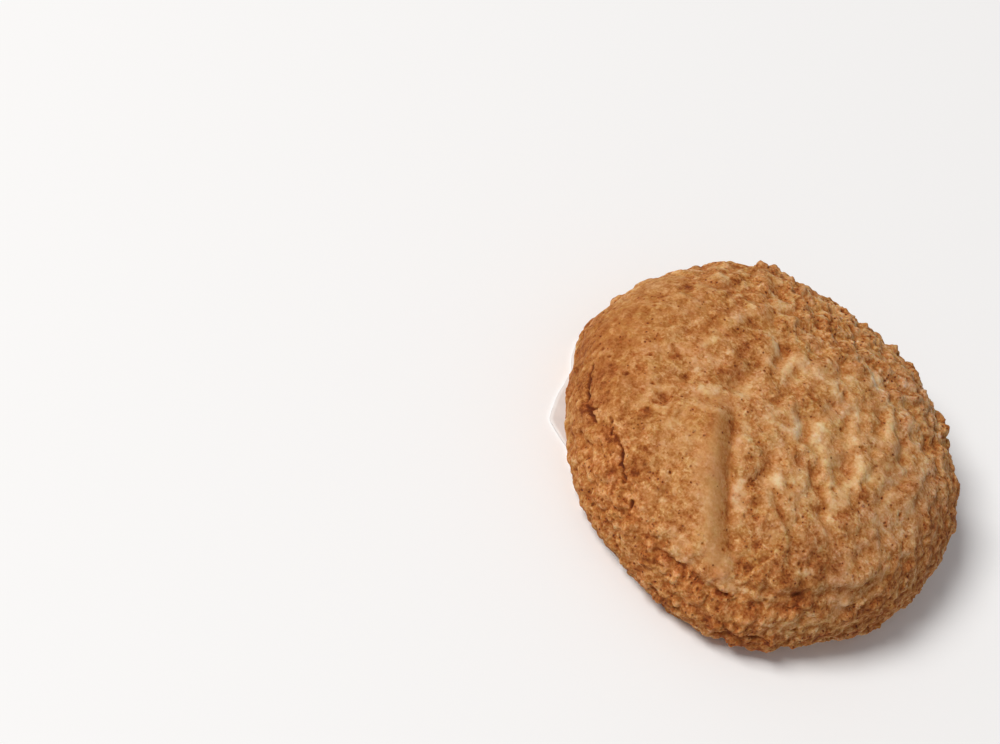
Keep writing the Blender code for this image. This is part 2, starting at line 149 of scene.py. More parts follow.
# Lesser folds of the coils: height in mm, half widths in mm of the west and the east
# side, and the line along the crest or the furrow, from north to south
FOLDS = (
    (-1.4, 3.9, 1.6, ((-11.2, 3.4), (-10.8, -3.2), (-9.8, -8.8))),
    (0.4, 1.6, 1.6, ((-15.4, 1.0), (-14.8, -4.0), (-13.6, -9.0))),
    (-1.1, 2.6, 1.7, ((6.4, 9.5), (7.5, 6.0), (8.2, 3.0), (9.4, 0.6), (11.6, -1.8), (13.7, -4.2),
                      (13.7, -6.8), (12.2, -9.2))),
    (0.5, 1.6, 2.4, ((10.2, 6.4), (10.8, 3.0), (12.6, 0.6), (15.4, -1.8), (16.4, -5.0),
                     (15.8, -9.0))),
    (-0.9, 1.8, 1.7, ((0.9, 0.2), (2.8, -2.6), (4.2, -5.2), (4.9, -7.8))),
    (-0.9, 2.0, 1.6, ((7.2, -7.8), (10.2, -10.0), (13.0, -11.8), (14.9, -13.8), (15.8, -16.4))),
    (-0.8, 1.7, 1.5, ((0.8, -11.2), (2.5, -14.5), (3.4, -17.6), (4.7, -20.8))),
    (-0.6, 1.3, 1.2, ((4.4, -20.8), (6.2, -22.6), (6.4, -25.0))),
    (0.5, 1.6, 1.6, ((-3.2, -12.0), (-2.0, -16.5), (0.6, -20.5))),
    (-0.6, 1.5, 1.3, ((17.0, 12.8), (18.6, 9.2), (20.2, 5.8))),
    (-0.3, 2.0, 1.4, ((7.8, 15.6), (10.8, 12.4), (13.2, 9.4))),
    (-0.6, 1.5, 1.2, ((20.4, 18.4), (22.0, 15.8), (23.8, 12.6))),
    (-0.7, 1.6, 1.3, ((-9.6, 9.6), (-8.6, 6.0), (-7.2, 2.6))),
    (-0.6, 1.2, 1.0, ((-22.2, -13.6), (-20.4, -17.2), (-17.6, -18.8))),
    (0.5, 1.9, 1.9, ((-13.2, 19.0), (-15.2, 15.5), (-18.0, 11.0), (-19.2, 5.0), (-17.0, -1.0))),
    (0.35, 1.7, 1.7, ((8.0, 18.5), (12.0, 14.5), (14.6, 9.5), (16.4, 4.0), (18.6, -0.5))),
    (0.45, 1.8, 1.8, ((20.0, 17.0), (23.0, 12.5), (24.4, 7.0), (24.6, 1.5), (26.4, -4.0))),
    (0.45, 1.6, 1.6, ((29.4, -11.0), (28.6, -15.4), (26.4, -19.6), (23.0, -23.6))),
)
FOLD_BREAK_SIZE = 3.4 * MM
FOLD_BREAK = 0.6
FOLD_FADE = 0.24

# Single dents and knobs: place on the map, radius and height, all in mm
DENTS = (
    (-24.5, 17.0, 1.5, -0.45), (-31.0, 8.5, 1.6, -0.35), (-16.3, 8.0, 1.9, -0.3),
    (-17.6, 4.0, 1.4, -0.25), (-8.6, 8.2, 1.3, -0.3), (-19.0, -11.5, 1.5, -0.25),
    (-19.2, -17.4, 1.4, -0.2), (-20.2, -21.6, 1.4, -0.2), (-22.6, -9.0, 1.4, -0.25),
    (-33.0, -2.5, 1.5, -0.25), (-15.0, -32.5, 1.3, -0.5), (-35.0, 22.0, 1.6, -0.3),
    (7.6, 13.4, 1.4, -0.2), (10.4, 18.6, 1.4, -0.3), (4.6, 16.4, 1.0, -0.2),
    (17.6, -4.6, 1.6, -0.3), (9.2, -8.8, 1.1, -0.4), (23.0, 18.5, 1.7, -0.45),
    (21.4, -26.6, 1.6, -0.4), (12.0, -38.6, 1.3, -0.4), (25.4, -38.6, 1.6, -0.4),
    (-21.5, 3.0, 1.5, -0.25), (20.5, -20.5, 4.5, -0.35), (8.0, 17.0, 1.7, 0.45),
    (2.2, 18.4, 1.6, 0.4), (4.2, 13.0, 1.5, 0.35), (-3.5, 16.5, 1.6, 0.35),
    (-9.0, 12.5, 1.6, 0.4), (-1.5, -7.5, 1.3, 0.3), (8.4, -13.2, 1.4, 0.35),
    (-13.4, -11.6, 2.0, 0.2), (28.5, -28.0, 1.7, 0.5), (19.6, -24.2, 1.3, 0.35),
    (9.5, -34.6, 1.5, 0.35), (10.9, -32.2, 1.5, -0.6), (13.8, -9.2, 0.45, -0.6),
    (8.0, -15.6, 0.4, -0.45), (12.7, -18.8, 0.45, -0.45), (16.8, -27.0, 0.4, -0.45),
    (3.0, 8.8, 0.45, -0.5), (4.5, 8.7, 0.4, -0.45), (12.8, 1.6, 0.45, -0.5),
    (-31.4, -31.0, 0.6, -0.6), (-19.0, -11.4, 0.6, -0.3), (0.8, -0.4, 0.4, -0.45),
)

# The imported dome's lumps and crags
SWELL_SIZE = 13.0 * MM
SWELL_HEIGHT = 0.55 * MM
SWELL_SEED = 11
LUMP_SIZE = 4.4 * MM
LUMP_HEIGHT = 0.85 * MM
LUMP_MEAN = 0.75
LUMP_SEED = 37
BEND_SIZE = 8.8 * MM
BEND_REACH = 1.6 * MM
BEND_SEED = 23
CRAG_SIZE = 2.9 * MM
CRAG_HEIGHT = 0.5 * MM
CRAG_SEED = 41

# How strong the lumps are in each part of the crust, and where that part starts and ends
LEFT_FLANK_SHARE = 0.62
LEFT_FLANK_X = (-20.0 * MM, 0.0)
SMOOTH_SHARE = 0.12
SMOOTH_OFFSET = 2.8 * MM
SMOOTH_WIDTH = 3.4 * MM
SMOOTH_SPAN = (0.0, 0.36)
LIP_SHARE = 0.6
TOP_SHARE = 0.85
TOP_Y = (10.0 * MM, 18.0 * MM)
SKIRT_SHARE = 1.15
SKIRT_START = 37.0 * MM
SKIRT_FULL = 41.5 * MM

# Crumblier places, and calmer ones where the last number is below 0: place on the map,
# half widths in mm and what is added to the strength of the lumps
ROUGH_PLACES = (
    (-24.0, -34.0, 9.0, 5.0, 0.3), (-12.0, -40.0, 9.0, 4.0, 0.3), (-41.0, -14.0, 7.0, 14.0, -0.6),
    (4.0, -5.0, 12.0, 12.0, 0.12), (-14.0, 20.0, 17.0, 11.0, 0.4),
)

# Finer layers of the crust: how far the calm left side and the pale places go without
# them, then the size, height and seed of each. A layer's least is the share of its height
# that its lowest crumb has, and its mean is taken off.
CALM_SHARE = 0.5
CALM_X = (-36.0 * MM, -16.0 * MM)
CRUMBLY_SHARE = 0.25
CRUMBLY_TOAST = (0.34, 0.66)
CRUMB_SIZE = 2.2 * MM
CRUMB_HEIGHT = 0.29 * MM
CRUMB_EDGE = 0.5
CRUMB_LEAST = 0.6
CRUMB_MEAN = 0.3
CRUMB_SEED = 131
BLOB_SIZE = 1.5 * MM
BLOB_HEIGHT = 0.22 * MM
BLOB_SEED = 141
GRAIN_SIZE = 1.0 * MM
GRAIN_HEIGHT = 0.11 * MM
GRAIN_LEAST = 0.5
GRAIN_MEAN = 0.4
GRAIN_SEED = 151
FINE_BEND_SIZE = 1.9 * MM
FINE_BEND_REACH = 0.4 * MM
FINE_BEND_SEED = 101
GRIT_SIZE = 0.8 * MM
GRIT_HEIGHT = 0.09 * MM
GRIT_SEED = 171
FINE_NOISE_CELLS = 64

# Crags of the rim and the skirt: the spacing of their places, the share of places that
# holds one, and their size
KNOB_SPACING = 2.6 * MM
KNOB_SHARE = 0.65
KNOB_RADIUS = (0.3, 0.58)
KNOB_HEIGHT = 1.15 * MM
KNOB_BEND_SIZE = 1.1 * MM
KNOB_BEND_REACH = 0.6 * MM
KNOB_SEED = 231
KNOB_START = 34.0 * MM
KNOB_FULL = 41.0 * MM
KNOB_POWER = 0.8
KNOB_LEAST = 0.35
KNOB_MEAN = 0.2
KNOB_LEFT_SHARE = 0.5
KNOB_LEFT_X = (-28.0 * MM, -12.0 * MM)
KNOB_TOP_Y = (15.0 * MM, 24.0 * MM)

# Pits: the spacing of their places, the share of places that holds one, and their size
PIT_SPACING = 2.3 * MM
PIT_SHARE = 0.35
PIT_RADIUS = (0.14, 0.27)
PIT_DEPTH = 0.38 * MM
PIT_FLOOR = 0.4
PIT_SEED = 191

# Cracks: strength, half width in mm, and the line on the map in mm
CRACKS = (
    (1.1, 0.3, ((-36.2, -16.8), (-35.6, -19.4), (-34.8, -21.4), (-33.8, -23.4), (-33.0, -25.2))),
    (0.8, 0.24, ((-32.8, -25.4), (-31.2, -26.0), (-30.0, -25.2))),
    (0.7, 0.26, ((-32.2, -26.2), (-30.6, -26.9), (-28.0, -28.4))),
    (0.6, 0.24, ((-25.6, -26.2), (-24.4, -27.2), (-23.6, -28.6))),
    (0.95, 0.24, ((-24.4, -29.0), (-22.8, -28.6), (-21.2, -28.8), (-19.6, -30.0), (-18.4, -31.4),
                  (-17.4, -32.6), (-16.2, -33.8), (-15.0, -34.2))),
    (0.7, 0.24, ((-14.4, -34.8), (-13.2, -36.0), (-12.0, -37.2), (-11.2, -38.8))),
    (0.35, 0.28, ((-0.6, -41.4), (1.6, -40.8), (3.6, -40.2), (5.4, -39.8), (7.6, -39.5),
                  (9.6, -39.2), (11.2, -38.5))),
    (0.4, 0.26, ((11.6, -38.4), (13.4, -37.9), (15.2, -37.0))),
    (0.6, 0.3, ((20.6, -42.2), (22.8, -40.8), (24.8, -39.5), (26.6, -38.2), (28.2, -37.0))),
)
CRACK_DEPTH = 0.9 * MM
CRACK_WANDERS = ((2.2 * MM, 0.35 * MM), (1.0 * MM, 0.5 * MM))
CRACK_BREAK_SIZE = 1.6 * MM
CRACK_BREAK = (-0.6, 0.2)
CRACK_LEAST = 0.45
CRACK_GAIN = 0.75
CRACK_SEED = 181

# Patches where the crust is paler, and darker: place on the map, half widths and strength,
# from the back to the front. Most come from browning; some are painted light and shade:
# cream on the rise beside the groove that faces the lamp, and dark under the lip where its
# shadow falls.
PALE_PATCHES = (
    (6.5, 18.5, 1.5, 1.5, 0.6), (-14.8, 16.5, 0.9, 2.4, 0.8), (-27.0, 15.5, 1.2, 2.4, 0.7),
    (14.2, 9.6, 0.8, 1.6, 0.7), (1.5, 8.3, 2.4, 1.2, 0.8), (-4.5, 7.6, 2.2, 2.0, 1.0),
    (7.9, 7.2, 0.9, 1.8, 1.2), (-7.0, 4.8, 1.5, 1.5, 0.6), (8.9, 4.0, 0.8, 1.6, 0.9),
    (26.6, 1.0, 1.0, 2.4, 0.8), (10.6, 0.8, 1.1, 1.6, 1.1), (4.7, -1.6, 1.3, 2.2, 1.3),
    (13.6, -1.8, 1.7, 0.9, 1.0), (17.2, -1.8, 0.9, 1.8, 1.0), (-20.2, -3.0, 1.2, 2.6, 0.8),
    (6.2, -4.4, 1.4, 1.2, 0.8), (-9.4, -5.4, 1.0, 2.0, 0.9), (15.0, -5.5, 0.9, 2.2, 0.9),
    (-2.4, -5.8, 1.1, 1.2, 0.8), (1.6, -7.0, 1.2, 1.3, 0.8), (13.4, -8.6, 1.3, 1.2, 0.8),
    (15.8, -12.4, 1.0, 2.4, 0.8), (-15.2, -12.6, 1.0, 1.6, 0.8), (5.0, -15.4, 1.2, 1.6, 1.1),
    (-20.4, -16.0, 1.1, 1.0, 0.9), (-4.2, -16.8, 0.9, 1.8, 0.9), (4.2, -18.0, 0.9, 1.2, 0.8),
    (-11.5, -20.6, 0.8, 2.0, 0.6), (-14.8, -21.0, 0.9, 2.6, 0.7), (1.0, -21.8, 1.0, 1.6, 1.1),
    (2.8, -24.2, 1.6, 0.9, 1.0), (20.4, -24.4, 1.0, 1.0, 1.0),
)
DARK_PATCHES = (
    (22.6, 18.2, 1.0, 1.4, 0.6), (-24.6, 16.6, 1.0, 1.4, 0.9), (-26.0, 12.0, 1.4, 1.0, 0.5),
    (-8.6, 8.4, 1.0, 1.0, 0.8), (-16.6, 8.0, 1.0, 1.8, 0.9), (-30.6, 7.6, 1.3, 1.8, 0.9),
    (12.0, 7.2, 0.9, 1.0, 0.6), (13.0, 4.5, 1.4, 1.2, 0.5), (-17.8, 3.2, 0.9, 1.6, 0.5),
    (-22.6, 2.4, 0.9, 2.4, 0.6), (1.0, 2.4, 2.4, 1.4, 0.6), (-8.2, 1.0, 0.9, 0.9, 0.9),
    (-25.6, -0.8, 1.1, 0.9, 0.7), (-4.0, -1.6, 3.0, 1.6, 0.4), (0.0, -2.0, 2.0, 1.4, 0.4),
    (-20.8, -3.8, 0.9, 1.0, 0.6), (-14.4, -5.0, 0.9, 2.0, 1.0), (18.0, -5.6, 1.4, 1.8, 0.5),
    (-15.5, -8.6, 1.0, 1.4, 0.7), (8.0, -8.6, 1.0, 0.8, 0.6), (-22.4, -9.0, 0.9, 1.4, 0.6),
    (-6.6, -9.0, 1.6, 1.0, 0.6), (19.0, -9.0, 1.2, 2.0, 0.5), (5.0, -9.2, 1.6, 1.2, 0.5),
    (-19.2, -11.4, 0.9, 0.9, 0.8), (-0.8, -13.0, 1.2, 1.4, 0.8), (1.5, -15.0, 0.9, 1.6, 0.8),
    (-10.2, -15.6, 1.0, 0.9, 0.6), (-0.2, -16.4, 0.9, 1.2, 0.6), (-19.4, -17.4, 2.2, 0.9, 0.5),
    (2.6, -20.4, 1.0, 1.2, 0.7), (9.0, -20.4, 1.6, 1.4, 0.4), (-20.8, -22.0, 1.0, 0.9, 0.5),
    (5.4, -22.6, 1.0, 1.4, 0.9), (21.5, -26.6, 1.6, 0.9, 0.3), (18.6, -28.4, 2.4, 1.2, 0.4),
)

# Patches that level the crust with the photo. Their places are mostly those that a
# comparison of test renders with the photo listed as too dark or too bright, and their half
# widths and strengths are chosen by hand. Spots are small patches of one size and strength.
# In part they are painted shade: the left rim is darkened where a neighbouring macaroon's
# shadow falls, and the rims that face away from the lamp are darkened.
LEVELLING_PALE_PATCHES = (
    (12.2, 28.2, 1.8, 1.2, 0.6), (4.6, 24.0, 1.8, 1.6, 0.7), (2.5, 18.2, 1.6, 1.0, 0.6),
    (28.0, 17.5, 1.4, 1.8, 0.7), (7.8, 17.2, 1.4, 1.3, 0.6), (7.5, 16.6, 2.0, 1.4, 1.4),
    (2.2, 13.8, 1.6, 1.1, 0.5), (6.8, 7.0, 1.1, 1.2, 0.6), (-9.5, 6.6, 1.6, 1.4, 1.1),
    (26.2, 6.0, 1.0, 1.6, 0.5), (15.2, 4.8, 1.0, 1.4, 0.6), (34.4, 4.2, 1.2, 1.4, 0.8),
    (20.8, 1.2, 1.2, 1.4, 0.6), (38.2, -2.8, 1.4, 1.8, 0.6), (1.6, -4.0, 1.4, 2.0, 1.2),
    (36.5, -9.2, 1.4, 1.8, 0.6), (25.8, -11.5, 1.0, 1.8, 0.6), (-13.6, -11.8, 2.2, 1.2, 0.9),
    (31.8, -12.4, 1.4, 3.4, 0.9), (-39.8, -17.5, 1.4, 1.8, 0.6), (38.0, -20.6, 1.3, 2.2, 1.0),
    (30.6, -21.4, 1.8, 2.4, 1.2), (36.8, -24.5, 1.5, 1.8, 0.6), (30.2, -28.8, 1.8, 1.4, 0.6),
    (9.4, -32.2, 1.6, 1.3, 0.6), (19.6, -32.4, 2.6, 1.3, 1.1), (26.6, -33.0, 2.0, 1.4, 1.0),
    (22.8, -34.8, 1.8, 1.2, 0.7), (29.0, -35.0, 1.6, 1.2, 0.6), (11.0, -35.4, 2.4, 0.9, 0.5),
    (13.2, -36.0, 1.6, 0.9, 0.7), (-1.0, -37.2, 2.4, 1.0, 0.8), (26.0, -38.2, 1.6, 1.1, 0.6),
    (10.2, -38.4, 1.7, 0.9, 0.6), (9.5, -38.8, 1.8, 0.9, 0.8), (26.0, -38.8, 1.6, 1.0, 0.6),
    (3.0, -39.0, 1.8, 0.9, 0.7), (3.0, -39.2, 1.6, 0.9, 0.6), (-7.5, -39.6, 2.0, 0.9, 0.8),
    (-3.0, -40.0, 1.8, 1.0, 0.7), (-5.8, -46.2, 2.0, 1.2, 0.8),
)
LEVELLING_DARK_PATCHES = (
    (-8.0, 28.0, 1.6, 1.2, 0.6), (6.0, 28.0, 1.8, 1.2, 0.6), (-11.0, 26.8, 2.0, 1.4, 0.7),
    (-2.2, 26.5, 1.8, 1.2, 0.6), (-17.0, 25.2, 1.5, 1.3, 0.6), (-7.0, 20.4, 1.6, 2.2, 0.6),
    (-29.4, 16.0, 1.0, 1.6, 0.6), (36.6, 9.4, 1.8, 2.2, 0.8), (31.4, 5.2, 1.8, 2.4, 0.6),
    (31.2, 3.5, 1.3, 1.5, 0.6), (-13.4, 0.2, 1.5, 3.6, 0.6), (-8.0, -3.6, 1.3, 1.5, 0.7),
    (-6.5, -6.8, 1.0, 1.2, 0.6), (-19.0, -9.5, 1.2, 1.0, 0.5), (41.0, -10.8, 1.6, 2.4, 0.8),
    (-23.0, -12.5, 1.0, 1.2, 0.5), (-17.2, -12.5, 1.0, 1.2, 0.5), (-34.2, -17.2, 1.8, 1.8, 0.9),
    (41.5, -20.5, 1.3, 1.6, 0.6), (-35.4, -20.6, 1.4, 4.0, 1.0), (-35.5, -21.2, 1.6, 2.0, 0.7),
    (34.6, -21.2, 1.2, 1.6, 0.7), (-20.6, -22.0, 1.0, 1.0, 0.5), (-32.2, -25.2, 1.5, 1.4, 1.0),
    (-32.2, -26.6, 1.4, 1.8, 0.8), (22.6, -27.4, 1.6, 1.0, 0.7), (17.6, -27.6, 2.0, 1.6, 0.7),
    (36.6, -28.2, 1.8, 2.2, 0.7), (37.0, -28.2, 1.8, 2.6, 0.7), (24.0, -28.6, 1.6, 1.8, 0.9),
    (-23.8, -29.0, 1.5, 1.3, 0.6), (-23.8, -29.0, 1.6, 1.2, 0.7), (7.8, -30.5, 1.6, 1.2, 0.6),
    (-34.8, -31.0, 1.8, 1.8, 0.6), (13.4, -31.6, 2.4, 1.7, 1.2), (-14.4, -32.0, 1.4, 2.6, 0.6),
    (-31.0, -34.8, 1.8, 1.4, 0.7), (18.8, -35.8, 1.7, 1.1, 0.6), (-4.0, -36.0, 1.6, 1.1, 0.6),
    (18.8, -36.2, 1.4, 1.0, 0.7), (28.2, -37.0, 1.8, 1.3, 0.4), (-16.0, -37.6, 1.6, 1.0, 0.6),
    (13.0, -39.2, 1.6, 0.9, 0.7), (-10.8, -39.5, 1.8, 1.1, 0.8), (-21.8, -40.8, 2.0, 1.2, 0.7),
    (-21.8, -41.4, 1.6, 1.0, 0.6), (21.5, -41.5, 1.6, 0.9, 0.7), (21.0, -41.8, 1.8, 1.2, 0.7),
    (-1.5, -44.4, 1.8, 1.2, 0.7),
)
LEVELLING_PALE_SPOTS = (
    (16.8, 24.0), (16.0, 22.8), (-19.5, 20.5), (5.8, 19.6), (2.2, 18.5), (13.0, 18.2),
    (7.5, 17.0), (17.5, 14.8), (4.0, 13.5), (-15.2, 12.2), (-0.8, 8.8), (-17.5, 8.0), (26.0, 6.0),
    (34.6, 5.4), (-25.8, 3.8), (-33.5, -0.8), (17.8, -2.2), (0.5, -2.5), (7.8, -3.2),
    (-31.2, -4.8), (10.2, -5.8), (2.8, -6.0), (-12.0, -11.2), (6.8, -15.2), (18.2, -16.8),
    (28.2, -20.2), (31.5, -22.5), (-26.0, -22.8), (-10.8, -24.5), (13.2, -24.5), (-14.5, -25.0),
    (-29.8, -26.2), (27.8, -30.6),
)
LEVELLING_DARK_SPOTS = (
    (-16.5, 25.0), (-16.5, 20.5), (-29.8, 17.0), (-19.2, 17.0), (23.6, 4.2), (-13.5, 3.8),
    (-13.2, -3.2), (-32.6, -19.0), (-30.8, -20.8), (3.8, -21.2), (22.5, -24.2), (37.2, -28.0),
    (-29.5, -28.8),
)
SPOT_HALF_WIDTH = 1.5
SPOT_STRENGTH = 0.6
PATCH_STRENGTH = 0.38

# Broad regions that are darker or paler: place and half widths as before, how much darker,
# and how far the crust turns rusty there, or grey where that is below 0. Some is browning
# and some painted shade: the grey is painted shade on places turned from the lamp, and the
# rim that faces away from the lamp and a shallow hollow on the lower plateau are painted
# darker.
REGIONS = (
    (2.0, 20.0, 16.0, 8.0, 0.13, -0.3), (15.0, -29.5, 7.0, 4.0, 0.2, 0.1),
    (21.0, -24.5, 7.0, 5.0, 0.14, -0.4), (-6.0, -23.0, 3.0, 8.0, -0.04, 0.0),
    (4.0, -8.0, 10.0, 10.0, -0.02, 0.0), (10.5, -42.0, 9.0, 3.5, -0.06, 0.5),
    (20.0, -44.0, 14.0, 4.0, 0.14, 0.7), (18.0, 8.4, 6.0, 6.0, -0.08, -0.4),
    (28.0, 11.0, 5.0, 8.0, 0.13, -0.6), (-16.0, -24.0, 6.0, 6.0, 0.06, -0.1),
    (-26.0, -33.0, 8.0, 5.0, 0.08, 0.3), (-18.4, 7.0, 8.0, 7.0, 0.11, 0.0),
    (-33.0, -14.0, 7.0, 14.0, 0.17, 0.1),
)

# Regions that level the crust with the photo, placed in the same way as those patches. In
# part they are painted shade: the left rim darkened where a neighbouring macaroon's shadow
# falls, the rims that face away from the lamp darkened, and grey on places turned from it.
LEVELLING_REGIONS = (
    (14.0, 27.0, 6.0, 4.0, -0.1, -2.0), (-12.0, -40.0, 10.0, 4.0, -0.07, 0.7),
    (24.0, -38.5, 8.0, 3.5, 0.08, 0.5), (-22.0, -33.0, 8.0, 4.0, 0.1, 0.7),
    (27.0, -4.0, 8.0, 14.0, 0.0, -0.8), (-42.4, -16.0, 4.5, 12.0, 0.31, -0.2),
    (38.5, -24.0, 4.5, 12.0, 0.26, 0.2), (38.0, 5.0, 4.5, 10.0, 0.26, 0.0),
    (23.4, -29.8, 1.8, 3.2, 0.08, 1.0), (19.0, -35.5, 2.4, 1.6, 0.04, 0.8),
    (9.5, -37.4, 3.4, 1.4, 0.0, 0.7), (-20.4, -22.0, 1.4, 1.2, 0.06, 0.9),
    (-32.2, -25.4, 2.0, 2.0, 0.1, 0.8), (13.5, -39.0, 2.0, 1.2, 0.04, 0.9),
    (0.0, -41.8, 3.0, 1.2, 0.04, 0.9), (28.6, -36.2, 2.4, 1.4, 0.04, 0.9),
    (14.8, 9.2, 1.8, 1.8, 0.03, 1.3), (-15.0, -4.5, 1.2, 1.8, 0.04, 0.8),
    (-21.8, 24.2, 3.0, 2.4, -0.04, -0.8), (27.8, 17.5, 2.0, 2.4, -0.04, -0.9),
    (-0.5, 29.5, 3.0, 1.8, -0.02, -0.8), (6.8, 7.2, 1.6, 1.6, -0.1, -0.9),
    (-22.0, -12.0, 9.0, 16.0, 0.05, 0.2), (21.2, -20.6, 3.8, 3.0, -0.04, -2.0),
    (-6.6, -5.4, 2.2, 1.8, 0.04, 0.9), (-20.8, -5.5, 1.6, 1.8, 0.03, 0.9),
    (9.6, -36.8, 2.8, 1.6, -0.02, 1.6), (1.5, -34.0, 2.2, 1.4, 0.03, 0.8),
    (12.0, 20.0, 8.0, 7.0, -0.05, -0.3), (40.2, -23.2, 2.4, 3.4, -0.02, -1.2),
    (40.0, 1.2, 2.2, 4.0, -0.02, -1.0), (-14.2, 26.0, 3.0, 2.2, -0.02, -1.0),
    (-11.0, -0.8, 1.6, 1.8, -0.02, -1.0), (24.5, -39.8, 2.4, 1.4, 0.0, 1.2),
    (4.2, -12.0, 1.8, 1.8, 0.02, 1.0), (18.8, -30.8, 2.2, 1.6, 0.0, 1.2),
    (-7.0, 1.2, 1.6, 1.6, 0.02, 1.0),
)
SEAM_TOAST = 0.05
# Partly rusty browning, partly painted red shade in the seam's crevice
SEAM_RUST_AND_SHADE = 0.5
SEAM_TOAST_WIDTH = 1.7 * MM
SEAM_TOAST_SPAN = (0.25, 0.85)
TOAST_RIDGE = 0.4
RIDGE_EVENNESS = 0.7
# Painted shade, with a little browning, on the slope beside the groove that turns from the lamp
BAND_PAINTED_SHADE = 0.12
BAND_OFFSET = 1.4 * MM
BAND_WIDTH = 1.5 * MM

# How browned the crust is, from 0, pale, to 1, dark, and what adds to it. Hollows, dents and
# cracks add painted shade, and pits add toasted specks with painted shade.
TOAST_RANGE = (-0.22, 1.22)
TOAST_MIDDLE = 0.45
TOAST_RIM = 0.1
TOAST_RIM_START = 18.0 * MM
TOAST_RIM_FULL = 40.0 * MM
TOAST_SKIRT = 0.12
TOAST_SKIRT_Y = (-43.0 * MM, -35.0 * MM)
TOAST_LAYERS = ((7.0 * MM, 0.08, 201), (3.2 * MM, 0.16, 203), (1.6 * MM, 0.13, 207))
TOAST_OF_LUMPS = 0.22
MOTTLE_LEAST = 0.35
TOAST_OF_CRUMBS = 0.2
TOAST_OF_GRAINS = 0.12
TOAST_OF_KNOBS = 0.4
# Painted shade: hollows of the relief darker, more so on the skirt, and redder, like shade in a
# crevice
SHADE_OF_HOLLOWS = 0.24
SKIRT_HOLLOW_SHADE = 0.1
SKIRT_CRUMBS = 0.1
RED_SHADE_OF_HOLLOWS = 0.5
HOLLOW_SCALE = 0.12 * MM
HOLLOW_ROUNDS = 14
# Painted shade in the dents and cracks; in the pits, toasted specks with painted shade
SHADE_OF_DENTS = 0.3
TOAST_AND_SHADE_OF_PITS = 0.25
SHADE_OF_CRACKS = 0.5

DOME_CELLS = 312
WAFER_CELLS = 110
PROFILE_STEPS = 600
FOOT_STEPS = 80
LINE_STEPS = 160
NOISE_CELLS = 24
NOISE_GAIN = 1.6

# The camera: distances in metres, angles in degrees, and pixels of a frame 1000 wide
FRAME_WIDTH = 1000.0
FRAME_HEIGHT = 744.0
FOCAL_PIXELS = 3360.0
SENSOR_WIDTH = 36.0
CAMERA_DISTANCE = 604.1 * MM
CAMERA_ELEVATION = 48.86
CAMERA_ROLL = 41.83
CAMERA_NEAR = 50.0 * MM
AIM_HEIGHT = 0.35 * HEIGHT
AIM_PIXEL = (762.6, 450.4)

# The stage
FLOOR_HALF = 1.5
FLOOR_DROP = 0.1 * MM
FLOOR_SHADE = 0.9
KEY_WAY = (-0.52, -0.42, 0.82)
KEY_DISTANCE = 3.0
KEY_SIZE = 1.1
KEY_POWER = 82.0
KEY_COLOUR = (1.0, 0.99, 0.97)
SURROUND_COLOUR = (1.0, 0.97, 0.98)
SURROUND_STRENGTH = 0.32


def ease(value, low, high):
    """0 below low, 1 above high, and between them three times the square of the share less
    twice its cube."""
    share = np.clip((value - low) / (high - low), 0.0, 1.0)
    return share * share * (3.0 - 2.0 * share)


def bell(distance, width):
    """A bell: the exponential of minus the square of distance over width."""
    return np.exp(-(distance / width) ** 2)


def smooth_noise(points, size, seed, cells=NOISE_CELLS):
    """Noise between about -1 and 1.

    A seeded arrow sits at each corner of a cubic lattice. Each corner's share is the
    point's offset along the arrow, and the eight shares are blended by a smooth weight.
    """
    arrows = np.random.default_rng(seed).normal(size=(cells,) * 3 + (3,))
    arrows /= np.linalg.norm(arrows, axis=-1, keepdims=True)
    scaled = points / size
    cell = np.floor(scaled).astype(int)
    inside = scaled - cell
    weight = inside ** 3 * (inside * (inside * 6.0 - 15.0) + 10.0)
    total = np.zeros(len(points))
    for corner in itertools.product((0, 1), repeat=3):
        near = (cell + corner) % cells
        arrow = arrows[near[:, 0], near[:, 1], near[:, 2]]
        share = np.prod(np.where(corner, weight, 1.0 - weight), axis=1)
        total += share * np.sum(arrow * (inside - corner), axis=1)
    return total * NOISE_GAIN


def nearest_centres(points, size, seed, cells=NOISE_CELLS):
    """Distances, in cells, to the nearest and second nearest of the seeded centres, one in
    each cell of a cubic lattice, and a number from 0 to 1 drawn for the nearest."""
    draw = np.random.default_rng(seed)
    centres = draw.random((cells,) * 3 + (3,))
    numbers = draw.random((cells,) * 3)
    scaled = points / size
    cell = np.floor(scaled).astype(int)
    first = np.full(len(points), np.inf)
    second = np.full(len(points), np.inf)
    number = np.zeros(len(points))
    for step in itertools.product((-1, 0, 1), repeat=3):
        near = (cell + step) % cells
        key = (near[:, 0], near[:, 1], near[:, 2])
        squared = np.sum((scaled - cell - step - centres[key]) ** 2, axis=1)
        closer = squared < first
        second = np.where(closer, first, np.minimum(second, squared))
        first = np.where(closer, squared, first)
        number = np.where(closer, numbers[key], number)
    return np.sqrt(first), np.sqrt(second), number


def dome_profile():
    """The half section from the top to the foot: distance along it, radius, height and
    the outward normal. An ellipse whose sine and cosine are raised to powers, then a
    straight line in to the foot."""
    turn = np.linspace(0.0, np.pi / 2.0, PROFILE_STEPS)
    radius = HALF_WIDTH * np.sin(turn) ** SHOULDER_POWER
    height = FLANK_HEIGHT + (HEIGHT - FLANK_HEIGHT) * np.cos(turn) ** CROWN_POWER
    share = np.linspace(0.0, 1.0, FOOT_STEPS)[1:]
    radius = np.append(radius, HALF_WIDTH + share * (FOOT_RADIUS - HALF_WIDTH))
    height = np.append(height, FLANK_HEIGHT + share * (FOOT_HEIGHT - FLANK_HEIGHT))
    along = np.append(0.0, np.cumsum(np.hypot(np.diff(radius), np.diff(height))))
    return along, radius, height, -np.gradient(height, along), np.gradient(radius, along)


